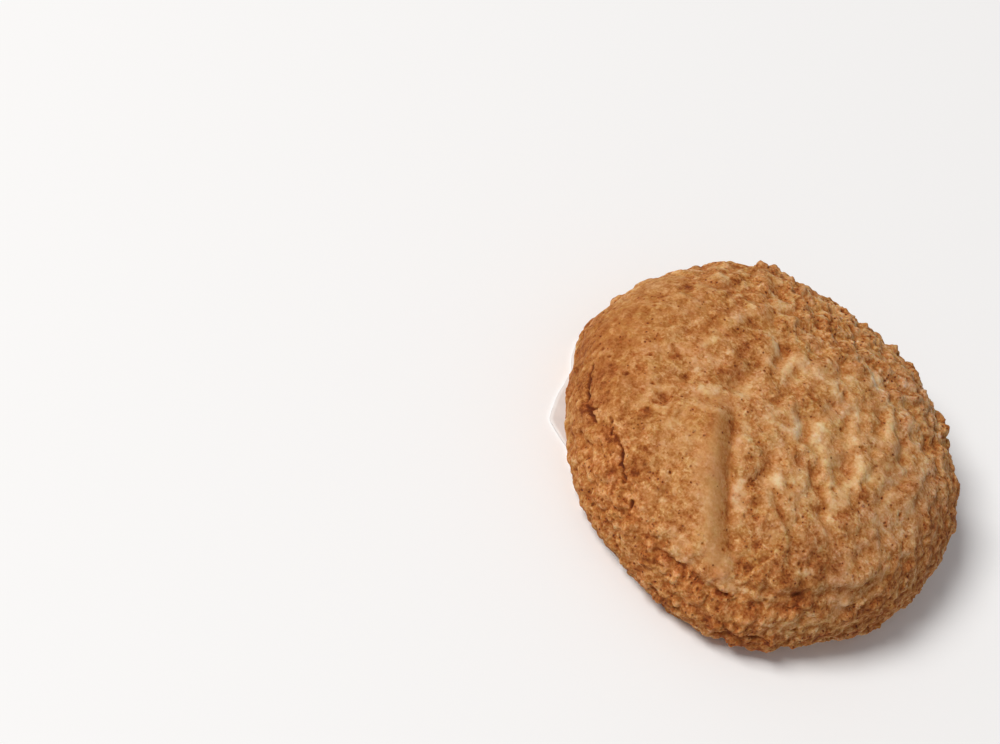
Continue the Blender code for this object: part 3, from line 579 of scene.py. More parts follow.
def outline_share(angle):
    """How far the outline departs from round at an angle, as a share of the radius: a sum of
    waves, each with its count round the dome, its size and its direction."""
    waves = [
        size * np.cos(count * angle - np.radians(phase))
        for count, size, phase in OUTLINE_WAVES
    ]
    return sum(waves) / HALF_WIDTH


def line_points(corners):
    """A smooth line of cubics through the corners, whose slope at each is half the step
    between its neighbours, as evenly counted points in metres."""
    knots = np.array(corners) * MM
    slopes = np.gradient(knots, axis=0)
    place = np.linspace(0.0, len(knots) - 1.0, LINE_STEPS)
    first = np.minimum(place.astype(int), len(knots) - 2)
    share = (place - first)[:, None]
    squared = share ** 2
    cubed = share ** 3
    return (
        knots[first] * (2.0 * cubed - 3.0 * squared + 1.0)
        + slopes[first] * (cubed - 2.0 * squared + share)
        + knots[first + 1] * (3.0 * squared - 2.0 * cubed)
        + slopes[first + 1] * (cubed - squared)
    )


def across_and_along(flat, corners):
    """Where map points lie from a line: distance to its left, and share of its length."""
    line = line_points(corners)
    heading = np.gradient(line, axis=0)
    heading /= np.linalg.norm(heading, axis=1, keepdims=True)
    steps = np.linalg.norm(np.gradient(line, axis=0), axis=1)
    squared = (flat[:, :1] - line[:, 0]) ** 2 + (flat[:, 1:] - line[:, 1]) ** 2
    nearest = np.argmin(squared, axis=1)
    offset = flat - line[nearest]
    ahead = heading[nearest]
    left = ahead[:, 0] * offset[:, 1] - ahead[:, 1] * offset[:, 0]
    past = np.clip(np.sum(ahead * offset, axis=1) / steps[nearest], -0.5, 0.5)
    return left, np.clip((nearest + past) / (LINE_STEPS - 1.0), 0.0, 1.0)


def within(share, span, start_fade=SPAN_FADE, end_fade=SPAN_FADE):
    """1 along a span of a line and 0 past its ends, fading between them."""
    first, last = span
    return ease(share, first, first + start_fade) * (1.0 - ease(share, last - end_fade, last))


def wandering(flat, base, wanders, seed):
    """Map points moved by layers of noise, each with its size and reach, which makes the
    lines and rings that are drawn from them uneven."""
    bent = flat.copy()
    for size, reach in wanders:
        bend = [smooth_noise(base, size, seed + axis, FINE_NOISE_CELLS) for axis in range(2)]
        bent += reach * np.stack(bend, axis=1)
    return bent


def swirl_relief(flat, base):
    """Height of the ridge with its groove, the lip and the seam at points of the map.

    From the ridge's rounded crest, a hyperbola, the surface falls evenly to the groove's
    floor at the swirl's edge, and rises again at once inside it, by an exponential of the
    distance. The lip rises from the edge and falls off inwards, the undercut and the seam
    are bells across their lines, and the skirt swells out below the seam. Noise makes the
    lip's and the seam's lines wander.
    """
    side, share = across_and_along(flat, SWIRL_EDGE)
    narrow, wide = CREST_OFFSETS
    offset = narrow + (wide - narrow) * np.clip(share / RIDGE_SPAN[1], 0.0, 1.0)
    fall = 1.0 + side / offset
    low = (fall + np.hypot(fall, CREST_ROUNDING)) / (1.0 + np.hypot(1.0, CREST_ROUNDING))
    low = np.minimum(low, 1.0)
    crest = RIDGE_HEIGHT * (1.0 - low) * bell(np.minimum(side + offset, 0.0), RIDGE_WIDTH)
    floor = TROUGH_DEPTH * low * np.exp(-np.maximum(side, 0.0) / TROUGH_WIDTH)
    relief = crest * within(share, RIDGE_SPAN, RIDGE_START_FADE, RIDGE_END_FADE)
    relief -= floor * within(share, TROUGH_SPAN, RIDGE_START_FADE, RIDGE_END_FADE)
    bent = wandering(flat, base, EDGE_WANDERS, EDGE_SEED)
    side, share = across_and_along(bent, SWIRL_EDGE)
    lip = ease(side, 0.0, LIP_RISE) * (1.0 - ease(side, LIP_RISE, LIP_WIDTH))
    relief += LIP_HEIGHT * lip * within(share, LIP_SPAN, end_fade=LIP_END_FADE)
    broken = 1.0 + EDGE_BREAK * smooth_noise(base, FOLD_BREAK_SIZE, EDGE_SEED)
    undercut = bell(side + 0.5 * UNDERCUT_WIDTH, UNDERCUT_WIDTH) * broken
    relief -= UNDERCUT_DEPTH * undercut * within(share, UNDERCUT_SPAN, end_fade=UNDERCUT_END_FADE)
    side, share = across_and_along(bent, SKIRT_SEAM)
    faint = SEAM_FAINT_SHARE * within(share, WHOLE_LINE)
    depth = np.maximum(within(share, SEAM_OPEN_SPAN), faint)
    relief -= SEAM_DEPTH * bell(side, SEAM_WIDTH) * depth
    relief += SKIRT_SWELL * ease(-side, SEAM_WIDTH, SKIRT_SWELL_REACH) * depth
    return relief


def fold_relief(flat, base):
    """Height of the lesser folds, each a bell with its own width on either side, broken up
    along its length by noise."""
    broken = 1.0 + FOLD_BREAK * smooth_noise(base, FOLD_BREAK_SIZE, BEND_SEED)
    relief = np.zeros(len(flat))
    for height, west, east, corners in FOLDS:
        side, share = across_and_along(flat, corners)
        section = bell(side, np.where(side < 0.0, west, east) * MM)
        relief += height * MM * section * within(share, WHOLE_LINE, FOLD_FADE, FOLD_FADE) * broken
    return relief


def distance_in_widths(flat, across, up, wide, tall):
    """Distance of map points from a place, in half widths given in mm across and up."""
    return np.hypot((flat[:, 0] - across * MM) / (wide * MM), (flat[:, 1] - up * MM) / (tall * MM))


def dent_relief(bent):
    """Height of the single dents and knobs, each a bell, round on the bent map."""
    relief = np.zeros(len(bent))
    for across, up, radius, height in DENTS:
        relief += height * MM * bell(distance_in_widths(bent, across, up, radius, radius), 1.0)
    return relief


def crust_share(flat):
    """How strong the lumps are: lower on the left flank, the lip and along the ridge, higher
    at the back and on the skirt, and changed by a bell at each of the rough places."""
    share = LEFT_FLANK_SHARE + (1.0 - LEFT_FLANK_SHARE) * ease(flat[:, 0], *LEFT_FLANK_X)
    share += TOP_SHARE * ease(flat[:, 1], *TOP_Y)
    side, along = across_and_along(flat, SWIRL_EDGE)
    smooth = bell(side + SMOOTH_OFFSET, SMOOTH_WIDTH) * within(along, SMOOTH_SPAN, RIDGE_START_FADE)
    share *= 1.0 - (1.0 - SMOOTH_SHARE) * smooth
    lip = bell(side - LIP_RISE, SMOOTH_WIDTH) * within(along, UNDERCUT_SPAN)
    share *= 1.0 - (1.0 - LIP_SHARE) * lip
    skirt = ease(np.hypot(flat[:, 0], flat[:, 1]), SKIRT_START, SKIRT_FULL)
    share += (SKIRT_SHARE - share) * skirt
    for across, up, wide, tall, extra in ROUGH_PLACES:
        share += extra * bell(distance_in_widths(flat, across, up, wide, tall), 1.0)
    return share


def bend_points(points, size, reach, seed, cells=NOISE_CELLS):
    """Points moved by smooth noise in each direction, which bends a layer's lattice."""
    bend = [smooth_noise(points, size, seed + axis, cells) for axis in range(3)]
    return points + reach * np.stack(bend, axis=1)


def crust_relief(flat, base):
    """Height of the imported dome's swells, lumps and crags: smooth noise, then 1 less the
    squared distance to the nearest centre, then finer noise on the same bent lattice."""
    bent = bend_points(base, BEND_SIZE, BEND_REACH, BEND_SEED)
    share = crust_share(flat)
    lumps = np.clip(1.0 - nearest_centres(bent, LUMP_SIZE, LUMP_SEED)[0] ** 2, 0.0, 1.0)
    relief = SWELL_HEIGHT * smooth_noise(base, SWELL_SIZE, SWELL_SEED)
    relief += LUMP_HEIGHT * share * (lumps - LUMP_MEAN)
    relief += CRAG_HEIGHT * share * smooth_noise(bent, CRAG_SIZE, CRAG_SEED)
    return relief


def crumb_layer(bent, size, seed):
    """A layer of packed crumbs: the hyperbolic tangent of how much farther the second
    centre is than the first, 0 in the creases and near 1 on the flat tops. Also a number
    from 0 to 1 for each crumb."""
    first, second, number = nearest_centres(bent, size, seed, FINE_NOISE_CELLS)
    return np.tanh((second - first) / CRUMB_EDGE), number


def knob_layer(flat, base):
    """Crags: blunt cones with uneven outlines, from 0 outside to at most 1 on top, each as
    high and wide as its draw makes it, and only near the rim and at the back."""
    bent = bend_points(base, KNOB_BEND_SIZE, KNOB_BEND_REACH, KNOB_SEED, FINE_NOISE_CELLS)
    first, _, number = nearest_centres(bent, KNOB_SPACING, KNOB_SEED, FINE_NOISE_CELLS)
    low, high = KNOB_RADIUS
    part = number / KNOB_SHARE
    height = np.clip(1.0 - first / (low + (high - low) * part), 0.0, 1.0)
    tops = height ** KNOB_POWER * (KNOB_LEAST + (1.0 - KNOB_LEAST) * part)
    knobs = np.where(number < KNOB_SHARE, tops, 0.0)
    rim = ease(np.hypot(flat[:, 0], flat[:, 1]), KNOB_START, KNOB_FULL)
    rim *= KNOB_LEFT_SHARE + (1.0 - KNOB_LEFT_SHARE) * ease(flat[:, 0], *KNOB_LEFT_X)
    return knobs * np.maximum(rim, ease(flat[:, 1], *KNOB_TOP_Y)), part


def pit_layer(bent):
    """Round pits, from 0 outside to 1 in the middle of a pit, where the draw makes one."""
    first, _, number = nearest_centres(bent, PIT_SPACING, PIT_SEED, FINE_NOISE_CELLS)
    low, high = PIT_RADIUS
    radius = low + (high - low) * number / PIT_SHARE
    return np.where(number < PIT_SHARE, 1.0 - ease(first, PIT_FLOOR * radius, radius), 0.0)


def crack_layer(flat, base):
    """The cracks, each a bell across its line, from 0 outside to 1 along the middle. Noise
    bends their course and breaks them up along it."""
    bent = wandering(flat, base, CRACK_WANDERS, CRACK_SEED)
    noise = smooth_noise(base, CRACK_BREAK_SIZE, CRACK_SEED, FINE_NOISE_CELLS)
    broken = CRACK_LEAST + CRACK_GAIN * ease(noise, *CRACK_BREAK)
    layer = np.zeros(len(flat))
    for strength, width, corners in CRACKS:
        side, along = across_and_along(bent, corners)
        crack = strength * bell(side, width * MM) * within(along, WHOLE_LINE)
        layer = np.maximum(layer, crack)
    return np.clip(layer * broken, 0.0, 1.0)


def disc_grid(cells):
    """Points of a square grid drawn out to the unit disc, each square ring to a circle."""
    line = np.linspace(-1.0, 1.0, cells + 1)
    across, up = np.meshgrid(line, line)
    across = across.ravel()
    up = up.ravel()
    wide = np.abs(across) >= np.abs(up)
    ring = np.where(wide, across, up)
    other = np.where(wide, up, across)
    turn = np.pi / 4.0 * other / np.where(ring == 0.0, 1.0, ring)
    turn = np.where(wide, turn, np.pi / 2.0 - turn)
    return np.stack([ring * np.cos(turn), ring * np.sin(turn)], axis=1)


def averaged(values, cells, rounds):
    """The grid's values smoothed: each round takes half of a value and an eighth of each of
    its four neighbours."""
    grid = values.reshape(cells + 1, cells + 1)
    for _ in range(rounds):
        wide = np.pad(grid, 1, mode="edge")
        sides = wide[:-2, 1:-1] + wide[2:, 1:-1] + wide[1:-1, :-2] + wide[1:-1, 2:]
        grid = 0.5 * grid + 0.125 * sides
    return grid.ravel()


def split_cells(points, cells):
    """Triangles of the grid, each cell split along its shorter diagonal."""
    number = np.arange((cells + 1) ** 2).reshape(cells + 1, cells + 1)
    a = number[:-1, :-1].ravel()
    b = number[:-1, 1:].ravel()
    c = number[1:, 1:].ravel()
    d = number[1:, :-1].ravel()
    one_way = np.linalg.norm(points[a] - points[c], axis=1)
    other_way = np.linalg.norm(points[b] - points[d], axis=1)
    straight = (one_way <= other_way)[:, None]
    one = np.where(straight, np.stack([a, b, c], axis=1), np.stack([a, b, d], axis=1))
    two = np.where(straight, np.stack([a, c, d], axis=1), np.stack([b, c, d], axis=1))
    return np.concatenate([one, two])


def rim_of(cells):
    """The numbers of the grid's outermost points, once round, anticlockwise."""
    number = np.arange((cells + 1) ** 2).reshape(cells + 1, cells + 1)
    return np.concatenate([number[0, :-1], number[:-1, -1], number[-1, :0:-1], number[:0:-1, 0]])


def mesh_object(name, points, triangles, material):
    """A smooth-shaded object made from arrays of points and triangles."""
    mesh = bpy.data.meshes.new(name)
    mesh.from_pydata(points.tolist(), [], triangles.tolist())
    mesh.shade_smooth()
    mesh.materials.append(material)
    mesh.update()
    piece = bpy.data.objects.new(name, mesh)
    bpy.context.scene.collection.objects.link(piece)
    return piece


def add_attribute(piece, name, values):
    """A named value at each point of the piece, for its material to read."""
    attribute = piece.data.attributes.new(name, "FLOAT", "POINT")
    attribute.data.foreach_set("value", values.astype(np.float32))


def all_patches():
    """Every patch and spot, with its strength below 0 where the crust is paler: mostly
    less browning, partly painted light.
    """
    pale = PALE_PATCHES + LEVELLING_PALE_PATCHES
    dark = DARK_PATCHES + LEVELLING_DARK_PATCHES
    kinds = ((-1.0, pale, LEVELLING_PALE_SPOTS), (1.0, dark, LEVELLING_DARK_SPOTS))
    for way, patches, spots in kinds:
        for across, up, wide, tall, strength in patches:
            yield across, up, wide, tall, way * strength
        for across, up in spots:
            yield across, up, SPOT_HALF_WIDTH, SPOT_HALF_WIDTH, way * SPOT_STRENGTH


def toast_and_shade_map(flat, base):
    """How browned the crust is before its crumbs, and how rusty.

    It is browner towards the rim and the skirt, and uneven by layers of smooth noise. Along
    the ridge it is drawn towards one value. Then come a bell for each patch and region,
    mostly browning and partly painted light and shade, and bells across the seam, with
    painted red shade in its crevice, and across the band beside the groove, painted shade
    on the slope that turns from the lamp.
    """
    distance = np.hypot(flat[:, 0], flat[:, 1])
    toast_and_shade = TOAST_MIDDLE + TOAST_RIM * ease(distance, TOAST_RIM_START, TOAST_RIM_FULL)
    toast_and_shade += TOAST_SKIRT * (1.0 - ease(flat[:, 1], *TOAST_SKIRT_Y))
    for size, gain, seed in TOAST_LAYERS:
        toast_and_shade += gain * smooth_noise(base, size, seed, FINE_NOISE_CELLS)
    side, share = across_and_along(flat, SWIRL_EDGE)
    ridge = bell(side + SMOOTH_OFFSET, SMOOTH_WIDTH) * within(share, SMOOTH_SPAN, RIDGE_START_FADE)
    toast_and_shade += (TOAST_RIDGE - toast_and_shade) * RIDGE_EVENNESS * ridge
    trough = within(share, TROUGH_SPAN, RIDGE_START_FADE, RIDGE_END_FADE)
    # Painted shade on the groove's slope that turns from the lamp
    toast_and_shade += BAND_PAINTED_SHADE * bell(side + BAND_OFFSET, BAND_WIDTH) * trough
    bent = wandering(flat, base, DENT_WANDERS, DENT_SEED)
    for across, up, wide, tall, strength in all_patches():
        away = distance_in_widths(bent, across, up, wide, tall)
        toast_and_shade += PATCH_STRENGTH * strength * bell(away, 1.0)
    side, share = across_and_along(bent, SKIRT_SEAM)
    seam = bell(side, SEAM_TOAST_WIDTH) * within(share, SEAM_TOAST_SPAN)
    toast_and_shade += SEAM_TOAST * seam
    # Redder along the seam: rusty browning and painted red shade in its crevice
    rust_and_shade = SEAM_RUST_AND_SHADE * seam
    # Regions are partly browning and partly painted shade; a turn below 0 paints grey shade
    for across, up, wide, tall, strength, turn in REGIONS + LEVELLING_REGIONS:
        region = bell(distance_in_widths(flat, across, up, wide, tall), 1.0)
        toast_and_shade += strength * region
        rust_and_shade += turn * region
    return toast_and_shade, rust_and_shade


def dome_base(flat, profile):
    """The bare dome over map points, and its normal.

    The profile is turned about the middle, and the outline's waves change its radius, the
    more the nearer to the rim. The normal's rise fades out at the foot, which stays flat.
    """
    along, radius, height, outward, upward = profile
    distance = np.hypot(flat[:, 0], flat[:, 1])
    angle = np.arctan2(flat[:, 1], flat[:, 0])
    reach = np.interp(distance, along, radius)
    reach *= 1.0 + outline_share(angle) * (reach / HALF_WIDTH) ** OUTLINE_WAVE_POWER
    around = np.stack([np.cos(angle), np.sin(angle)], axis=1)
    base = np.column_stack([around * reach[:, None], np.interp(distance, along, height)])
    above_foot = 1.0 - ease(distance, along[-1] - FOOT_BAND, along[-1])
    rise = np.interp(distance, along, upward) * above_foot
    normal = np.column_stack([around * np.interp(distance, along, outward)[:, None], rise])
    return base, normal


def crust_layers(flat, base, toast_and_shade):
    """The layers of the crust, and the relief that they add up to.

    Crumbs, grains, blobs and grit count by how crumbly a place is: as much as its lumps,
    more where its browning, painted light and shade included, is darker, and less on the
    calm left side. Each layer is its height times its value, less about its mean. Pits and
    cracks are taken off.
    """
    share = crust_share(flat)
    calm = 1.0 - ease(flat[:, 0], *CALM_X)
    crumbly = share * (CRUMBLY_SHARE + (1.0 - CRUMBLY_SHARE) * ease(toast_and_shade, *CRUMBLY_TOAST))
    crumbly *= 1.0 - CALM_SHARE * calm
    bent = bend_points(base, FINE_BEND_SIZE, FINE_BEND_REACH, FINE_BEND_SEED, FINE_NOISE_CELLS)
    crumbs, crumb_number = crumb_layer(bent, CRUMB_SIZE, CRUMB_SEED)
    grains, grain_number = crumb_layer(bent, GRAIN_SIZE, GRAIN_SEED)
    knobs, knob_number = knob_layer(flat, base)
    pits = pit_layer(bent)
    cracks = crack_layer(flat, base)
    dents = dent_relief(wandering(flat, base, DENT_WANDERS, DENT_SEED))
    lumps = crust_relief(flat, base)
    crumbs *= CRUMB_LEAST + (1.0 - CRUMB_LEAST) * crumb_number
    grains *= GRAIN_LEAST + (1.0 - GRAIN_LEAST) * grain_number
    fine = CRUMB_HEIGHT * (crumbs - CRUMB_MEAN) + GRAIN_HEIGHT * (grains - GRAIN_MEAN)
    fine += BLOB_HEIGHT * smooth_noise(base, BLOB_SIZE, BLOB_SEED, FINE_NOISE_CELLS)
    fine += GRIT_HEIGHT * smooth_noise(base, GRIT_SIZE, GRIT_SEED, FINE_NOISE_CELLS)
    relief = swirl_relief(flat, base) + fold_relief(flat, base) + dents + lumps
    relief += KNOB_HEIGHT * (knobs - KNOB_MEAN) + crumbly * fine
    relief -= PIT_DEPTH * pits + CRACK_DEPTH * cracks
    return SimpleNamespace(
        share=share, calm=calm, crumbly=crumbly, crumb_number=crumb_number,
        grain_number=grain_number, knobs=knobs, knob_number=knob_number, pits=pits,
        cracks=cracks, dents=dents, lumps=lumps, relief=relief,
    )


def browned_and_shaded_by(layers, flat, toast_and_shade, rust_and_shade):
    """How browned and how rusty the crust is with what its layers add.

    Lumps brown it, and each crumb, grain and knob does by its own number. Hollows, dents and
    cracks darken it with painted shade, pits with toasted specks and painted shade, and
    hollows are painted redder too, like shade in a crevice. A hollow is where the relief lies
    lower than its own average.
    """
    distance = np.hypot(flat[:, 0], flat[:, 1])
    skirt = ease(distance, SKIRT_START, SKIRT_FULL) * (1.0 - layers.calm)
    mottled = np.minimum(MOTTLE_LEAST + layers.share, 1.0)
    hollows = averaged(layers.relief, DOME_CELLS, HOLLOW_ROUNDS) - layers.relief
    hollow_shade = np.tanh(hollows / HOLLOW_SCALE)
    crumbs = TOAST_OF_CRUMBS * (1.0 + SKIRT_CRUMBS * skirt) * (layers.crumb_number - 0.5)
    grains = TOAST_OF_GRAINS * (layers.grain_number - 0.5)
    toast_and_shade = toast_and_shade + mottled * (crumbs + grains)
    toast_and_shade += TOAST_OF_KNOBS * np.where(layers.knobs > 0.0, layers.knob_number - 0.5, 0.0)
    toast_and_shade += TOAST_OF_LUMPS * np.tanh(layers.lumps / LUMP_HEIGHT)
    # Painted shade: darker in hollows, dents and cracks, and in pits, which are toasted specks too;
    # redder in hollows
    toast_and_shade += SHADE_OF_HOLLOWS * (1.0 + SKIRT_HOLLOW_SHADE * skirt) * hollow_shade
    toast_and_shade += SHADE_OF_DENTS * np.clip(-layers.dents / MM, 0.0, 1.0)
    toast_and_shade += TOAST_AND_SHADE_OF_PITS * layers.pits + SHADE_OF_CRACKS * layers.cracks
    return toast_and_shade, rust_and_shade + RED_SHADE_OF_HOLLOWS * np.maximum(hollow_shade, 0.0)


def make_crust():
    """The crust: the bare dome moved out along its normal by the relief, kept inside the
    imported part's box, and closed under the foot by a fan of triangles to the middle."""
    profile = dome_profile()
    flat = disc_grid(DOME_CELLS) * profile[0][-1]
    base, normal = dome_base(flat, profile)
    toast_and_shade, rust_and_shade = toast_and_shade_map(flat, base)
    layers = crust_layers(flat, base, toast_and_shade)
    points = base + layers.relief[:, None] * normal
    middle = 0.5 * (points.min(axis=0) + points.max(axis=0))
    middle[2] = 0.0
    rim = rim_of(DOME_CELLS)
    points[rim, 2] = CRUST_UNDERSIDE
    triangles = split_cells(points, DOME_CELLS)
    fan = np.stack([np.roll(rim, -1), rim, np.full(len(rim), len(points))], axis=1)
    points = np.vstack([points, [0.0, 0.0, CRUST_UNDERSIDE]]) - middle
    points = np.clip(points, *np.array(cad_box))
    triangles = np.concatenate([triangles, fan])
    crust = mesh_object("crust", points, triangles, crust_material())
    toast_and_shade, rust_and_shade = browned_and_shaded_by(layers, flat, toast_and_shade, rust_and_shade)
    # These values carry painted light and shade as well as browning and rusty colour
    for name, values, underneath in (
        ("toast_and_shade", toast_and_shade, TOAST_MIDDLE),
        ("rust_and_shade", rust_and_shade, 0.0),
        ("coarseness", layers.crumbly, 1.0),
        ("cracks", layers.cracks, 0.0),
    ):
        add_attribute(crust, name, np.append(values, underneath))
    return crust, middle


def wafer_reach(angle):
    """The paper's radius at an angle: a circle, a straight-sided peak at each corner where
    it stands out, and smooth noise for the ragged edge."""
    degrees = np.degrees(angle)
    reach = np.full(len(angle), WAFER_RADIUS)
    for direction, height, before, after in WAFER_CORNERS:
        away = (degrees - direction + 180.0) % 360.0 - 180.0
        width = np.where(away < 0.0, before, after)
        reach = np.maximum(reach, WAFER_RADIUS + height * (1.0 - np.abs(away) / width))
    around = np.stack([np.cos(angle), np.sin(angle), np.zeros(len(angle))], axis=1)
    ragged = smooth_noise(around * WAFER_RADIUS, WAFER_RAG_SIZE, WAFER_SEED)
    return reach + WAFER_RAGGEDNESS * ragged


def make_wafer(middle):
    """The paper: a disc grid drawn out to the ragged outline, thickened upwards."""
    disc = disc_grid(WAFER_CELLS)
    angle = np.arctan2(disc[:, 1], disc[:, 0])
    flat = disc * wafer_reach(angle)[:, None]
    points = np.column_stack([flat, np.zeros(len(flat))]) - middle
    paper = mesh_object("wafer_sheet", points, split_cells(points, WAFER_CELLS), paper_material())
    thickness = paper.modifiers.new("thickness", "SOLIDIFY")
    thickness.thickness = WAFER_THICKNESS
    thickness.offset = 1.0
    return paper


def colour(red, green, blue):
    """A colour given as it looks on a screen, 0 to 255, turned linear: by a straight line
    near black, and a power of 2.4 above it."""
    screen = np.array([red, green, blue]) / 255.0
    linear = np.where(screen <= 0.04045, screen / 12.92, ((screen + 0.055) / 1.055) ** 2.4)
    return (*linear, 1.0)


# The smallest radius of a spot of the material as a share of the largest, and how much of
# its radius its dark middle takes
LEAST_SPOT = 0.6
SPOT_MIDDLE = 0.55


class Nodes:
    """A short way to lay out one material's nodes."""

    def __init__(self, name):
        self.material = bpy.data.materials.new(name)
        self.material.use_nodes = True
        self.tree = self.material.node_tree
        self.shader = self.tree.nodes["Principled BSDF"]

    def add(self, kind, **settings):
        """A node with some of its settings."""
        node = self.tree.nodes.new(kind)
        for key, value in settings.items():
            setattr(node, key, value)
        return node

    def link(self, source, target):
        """A link from one socket to another."""
        self.tree.links.new(source, target)

    def maths(self, operation, first, second=0.0, third=0.0):
        """The result of an operation on values or sockets."""
        node = self.add("ShaderNodeMath", operation=operation)
        for socket, value in zip(node.inputs, (first, second, third)):
            if isinstance(value, (int, float)):
                socket.default_value = value
            else:
                self.link(value, socket)
        return node.outputs[0]

    def place(self):
        """The point's place on the object."""
        return self.add("ShaderNodeTexCoord").outputs["Object"]

    def noise(self, size, detail=2.0, roughness=0.5):
        """Noise from 0 to 1 whose features are about the size across."""
        node = self.add("ShaderNodeTexNoise")
        node.inputs["Scale"].default_value = 1.0 / size
        node.inputs["Detail"].default_value = detail
        node.inputs["Roughness"].default_value = roughness
        self.link(self.place(), node.inputs["Vector"])
        return node

    def bent_place(self, size, reach):
        """The point's place, moved up to about the reach by noise."""
        bend = self.noise(size, detail=1.0).outputs["Color"]
        centre = self.add("ShaderNodeVectorMath", operation="SUBTRACT")
        self.link(bend, centre.inputs[0])
        centre.inputs[1].default_value = (0.5, 0.5, 0.5)
        stretch = self.add("ShaderNodeVectorMath", operation="SCALE")
        self.link(centre.outputs[0], stretch.inputs[0])
        stretch.inputs["Scale"].default_value = 2.0 * reach
        total = self.add("ShaderNodeVectorMath", operation="ADD")
        self.link(self.place(), total.inputs[0])
        self.link(stretch.outputs[0], total.inputs[1])
        return total.outputs[0]

    def cells(self, place, size):
        """Distance, in cells, to the nearest of points about the size apart, and a number
        from 0 to 1 drawn for that point."""
        node = self.add("ShaderNodeTexVoronoi")
        node.inputs["Scale"].default_value = 1.0 / size
        self.link(place, node.inputs["Vector"])
        split = self.add("ShaderNodeSeparateColor")
        self.link(node.outputs["Color"], split.inputs[0])
        return node.outputs["Distance"], split.outputs[0]

    def attribute(self, name):
        """A value stored at the points of the piece."""
        return self.add("ShaderNodeAttribute", attribute_name=name).outputs["Fac"]

    def ramp(self, value, stops):
        """Colours blended between stops of a value."""
        node = self.add("ShaderNodeValToRGB")
        band = node.color_ramp
        while len(band.elements) < len(stops):
            band.elements.new(0.5)
        for element, (place, shade) in zip(band.elements, stops):
            element.position = place
            element.color = shade
        self.link(value, node.inputs[0])
        return node.outputs[0]

    def rescale(self, value, low, high, new_low=0.0, new_high=1.0):
        """A value moved from one range to another, and kept inside it."""
        node = self.add("ShaderNodeMapRange")
        for socket, number in zip(node.inputs[1:5], (low, high, new_low, new_high)):
            if isinstance(number, (int, float)):
                socket.default_value = number
            else:
                self.link(number, socket)
        self.link(value, node.inputs[0])
        return node.outputs[0]

    def blend(self, share, first, second, kind="MIX"):
        """The first colour turned towards the second by a share, or towards the two
        multiplied where the kind is MULTIPLY."""
        node = self.add("ShaderNodeMix", data_type="RGBA", blend_type=kind)
        self.link(share, node.inputs[0])
        self.link(first, node.inputs[6])
        node.inputs[7].default_value = second
        return node.outputs[2]

    def spots(self, place, size, share, radius):
        """Round spots, 1 in the middle and 0 outside, at a share of points about the size
        apart, whose radius is up to the given part of the size."""
        distance, number = self.cells(place, size)
        reach = self.rescale(number, 1.0 - share, 1.0, LEAST_SPOT * radius, radius)
        spot = self.rescale(self.maths("DIVIDE", distance, reach), SPOT_MIDDLE, 1.0, 1.0, 0.0)
        return self.maths("MULTIPLY", spot, self.maths("GREATER_THAN", number, 1.0 - share))


# The crust's colours from pale to dark, and the tints that are multiplied into them
CRUST_STOPS = (
    (0.0, colour(212, 184, 144)),
    (0.2, colour(204, 162, 114)),
    (0.4, colour(188, 136, 83)),
    (0.6, colour(167, 108, 54)),
    (0.8, colour(144, 81, 31)),
    (1.0, colour(111, 53, 14)),
)
PINK_TINT = (1.0, 0.99, 1.11, 1.0)
OLIVE_TINT = (1.0, 1.08, 1.06, 1.0)
# Redder: rusty places, and painted red shade in hollows and the seam
RED_TINT = (1.0, 0.88, 0.78, 1.0)
# Painted shade: the cooler grey of places turned from the lamp
GREY_SHADE_TINT = (0.94, 1.0, 1.2, 1.0)
# Dark of the pores: toasted specks with painted shade in the holes
PORE_TOAST_AND_SHADE_COLOUR = colour(92, 42, 14)
# Painted shade: the dark that fills the cracks
CRACK_SHADE_COLOUR = colour(84, 33, 12)
RUST_COLOUR = colour(178, 88, 34)

# Noise of the finish: size, detail and roughness
FINE_NOISE = (0.45 * MM, 1.0, 0.5)
SPECKLE_NOISE = (1.0 * MM, 2.0, 0.6)
PINK_NOISE = (3.6 * MM, 2.0, 0.5)
OLIVE_NOISE = (2.9 * MM, 2.0, 0.5)
CLUSTER_NOISE = (3.0 * MM, 1.0, 0.5)
PAPER_NOISE = (2.5 * MM, 3.0, 0.5)

# Grains of their own tone: size, and how far each kind changes the browning
GRAIN_BEND = (0.9 * MM, 0.3 * MM)
GRAIN_TONE_SIZE = 0.9 * MM
GRIT_TONE_SIZE = 0.42 * MM
GRAIN_TONE = 0.3
GRIT_TONE = 0.3
FINE_TONE = 0.7

# Pores: the spacing of their places, the share of places that holds one, and their radius
# as a share of the spacing. Then the strength of their dark colour, toasted specks with
# painted shade in the holes, and their depth in the bump.
SMALL_PORES = (0.95 * MM, 0.5, 0.33)
PORE_HALOS = (0.95 * MM, 0.5, 0.58)
WIDE_PORES = (1.4 * MM, 0.55, 0.26)
LONE_PORES = (2.6 * MM, 0.6, 0.11)
SMALL_PORE_STRENGTH = 0.9
HALO_STRENGTH = 0.35
LONE_PORE_STRENGTH = 0.8
SMALL_PORE_BUMP = -1.6
WIDE_PORE_BUMP = -1.2

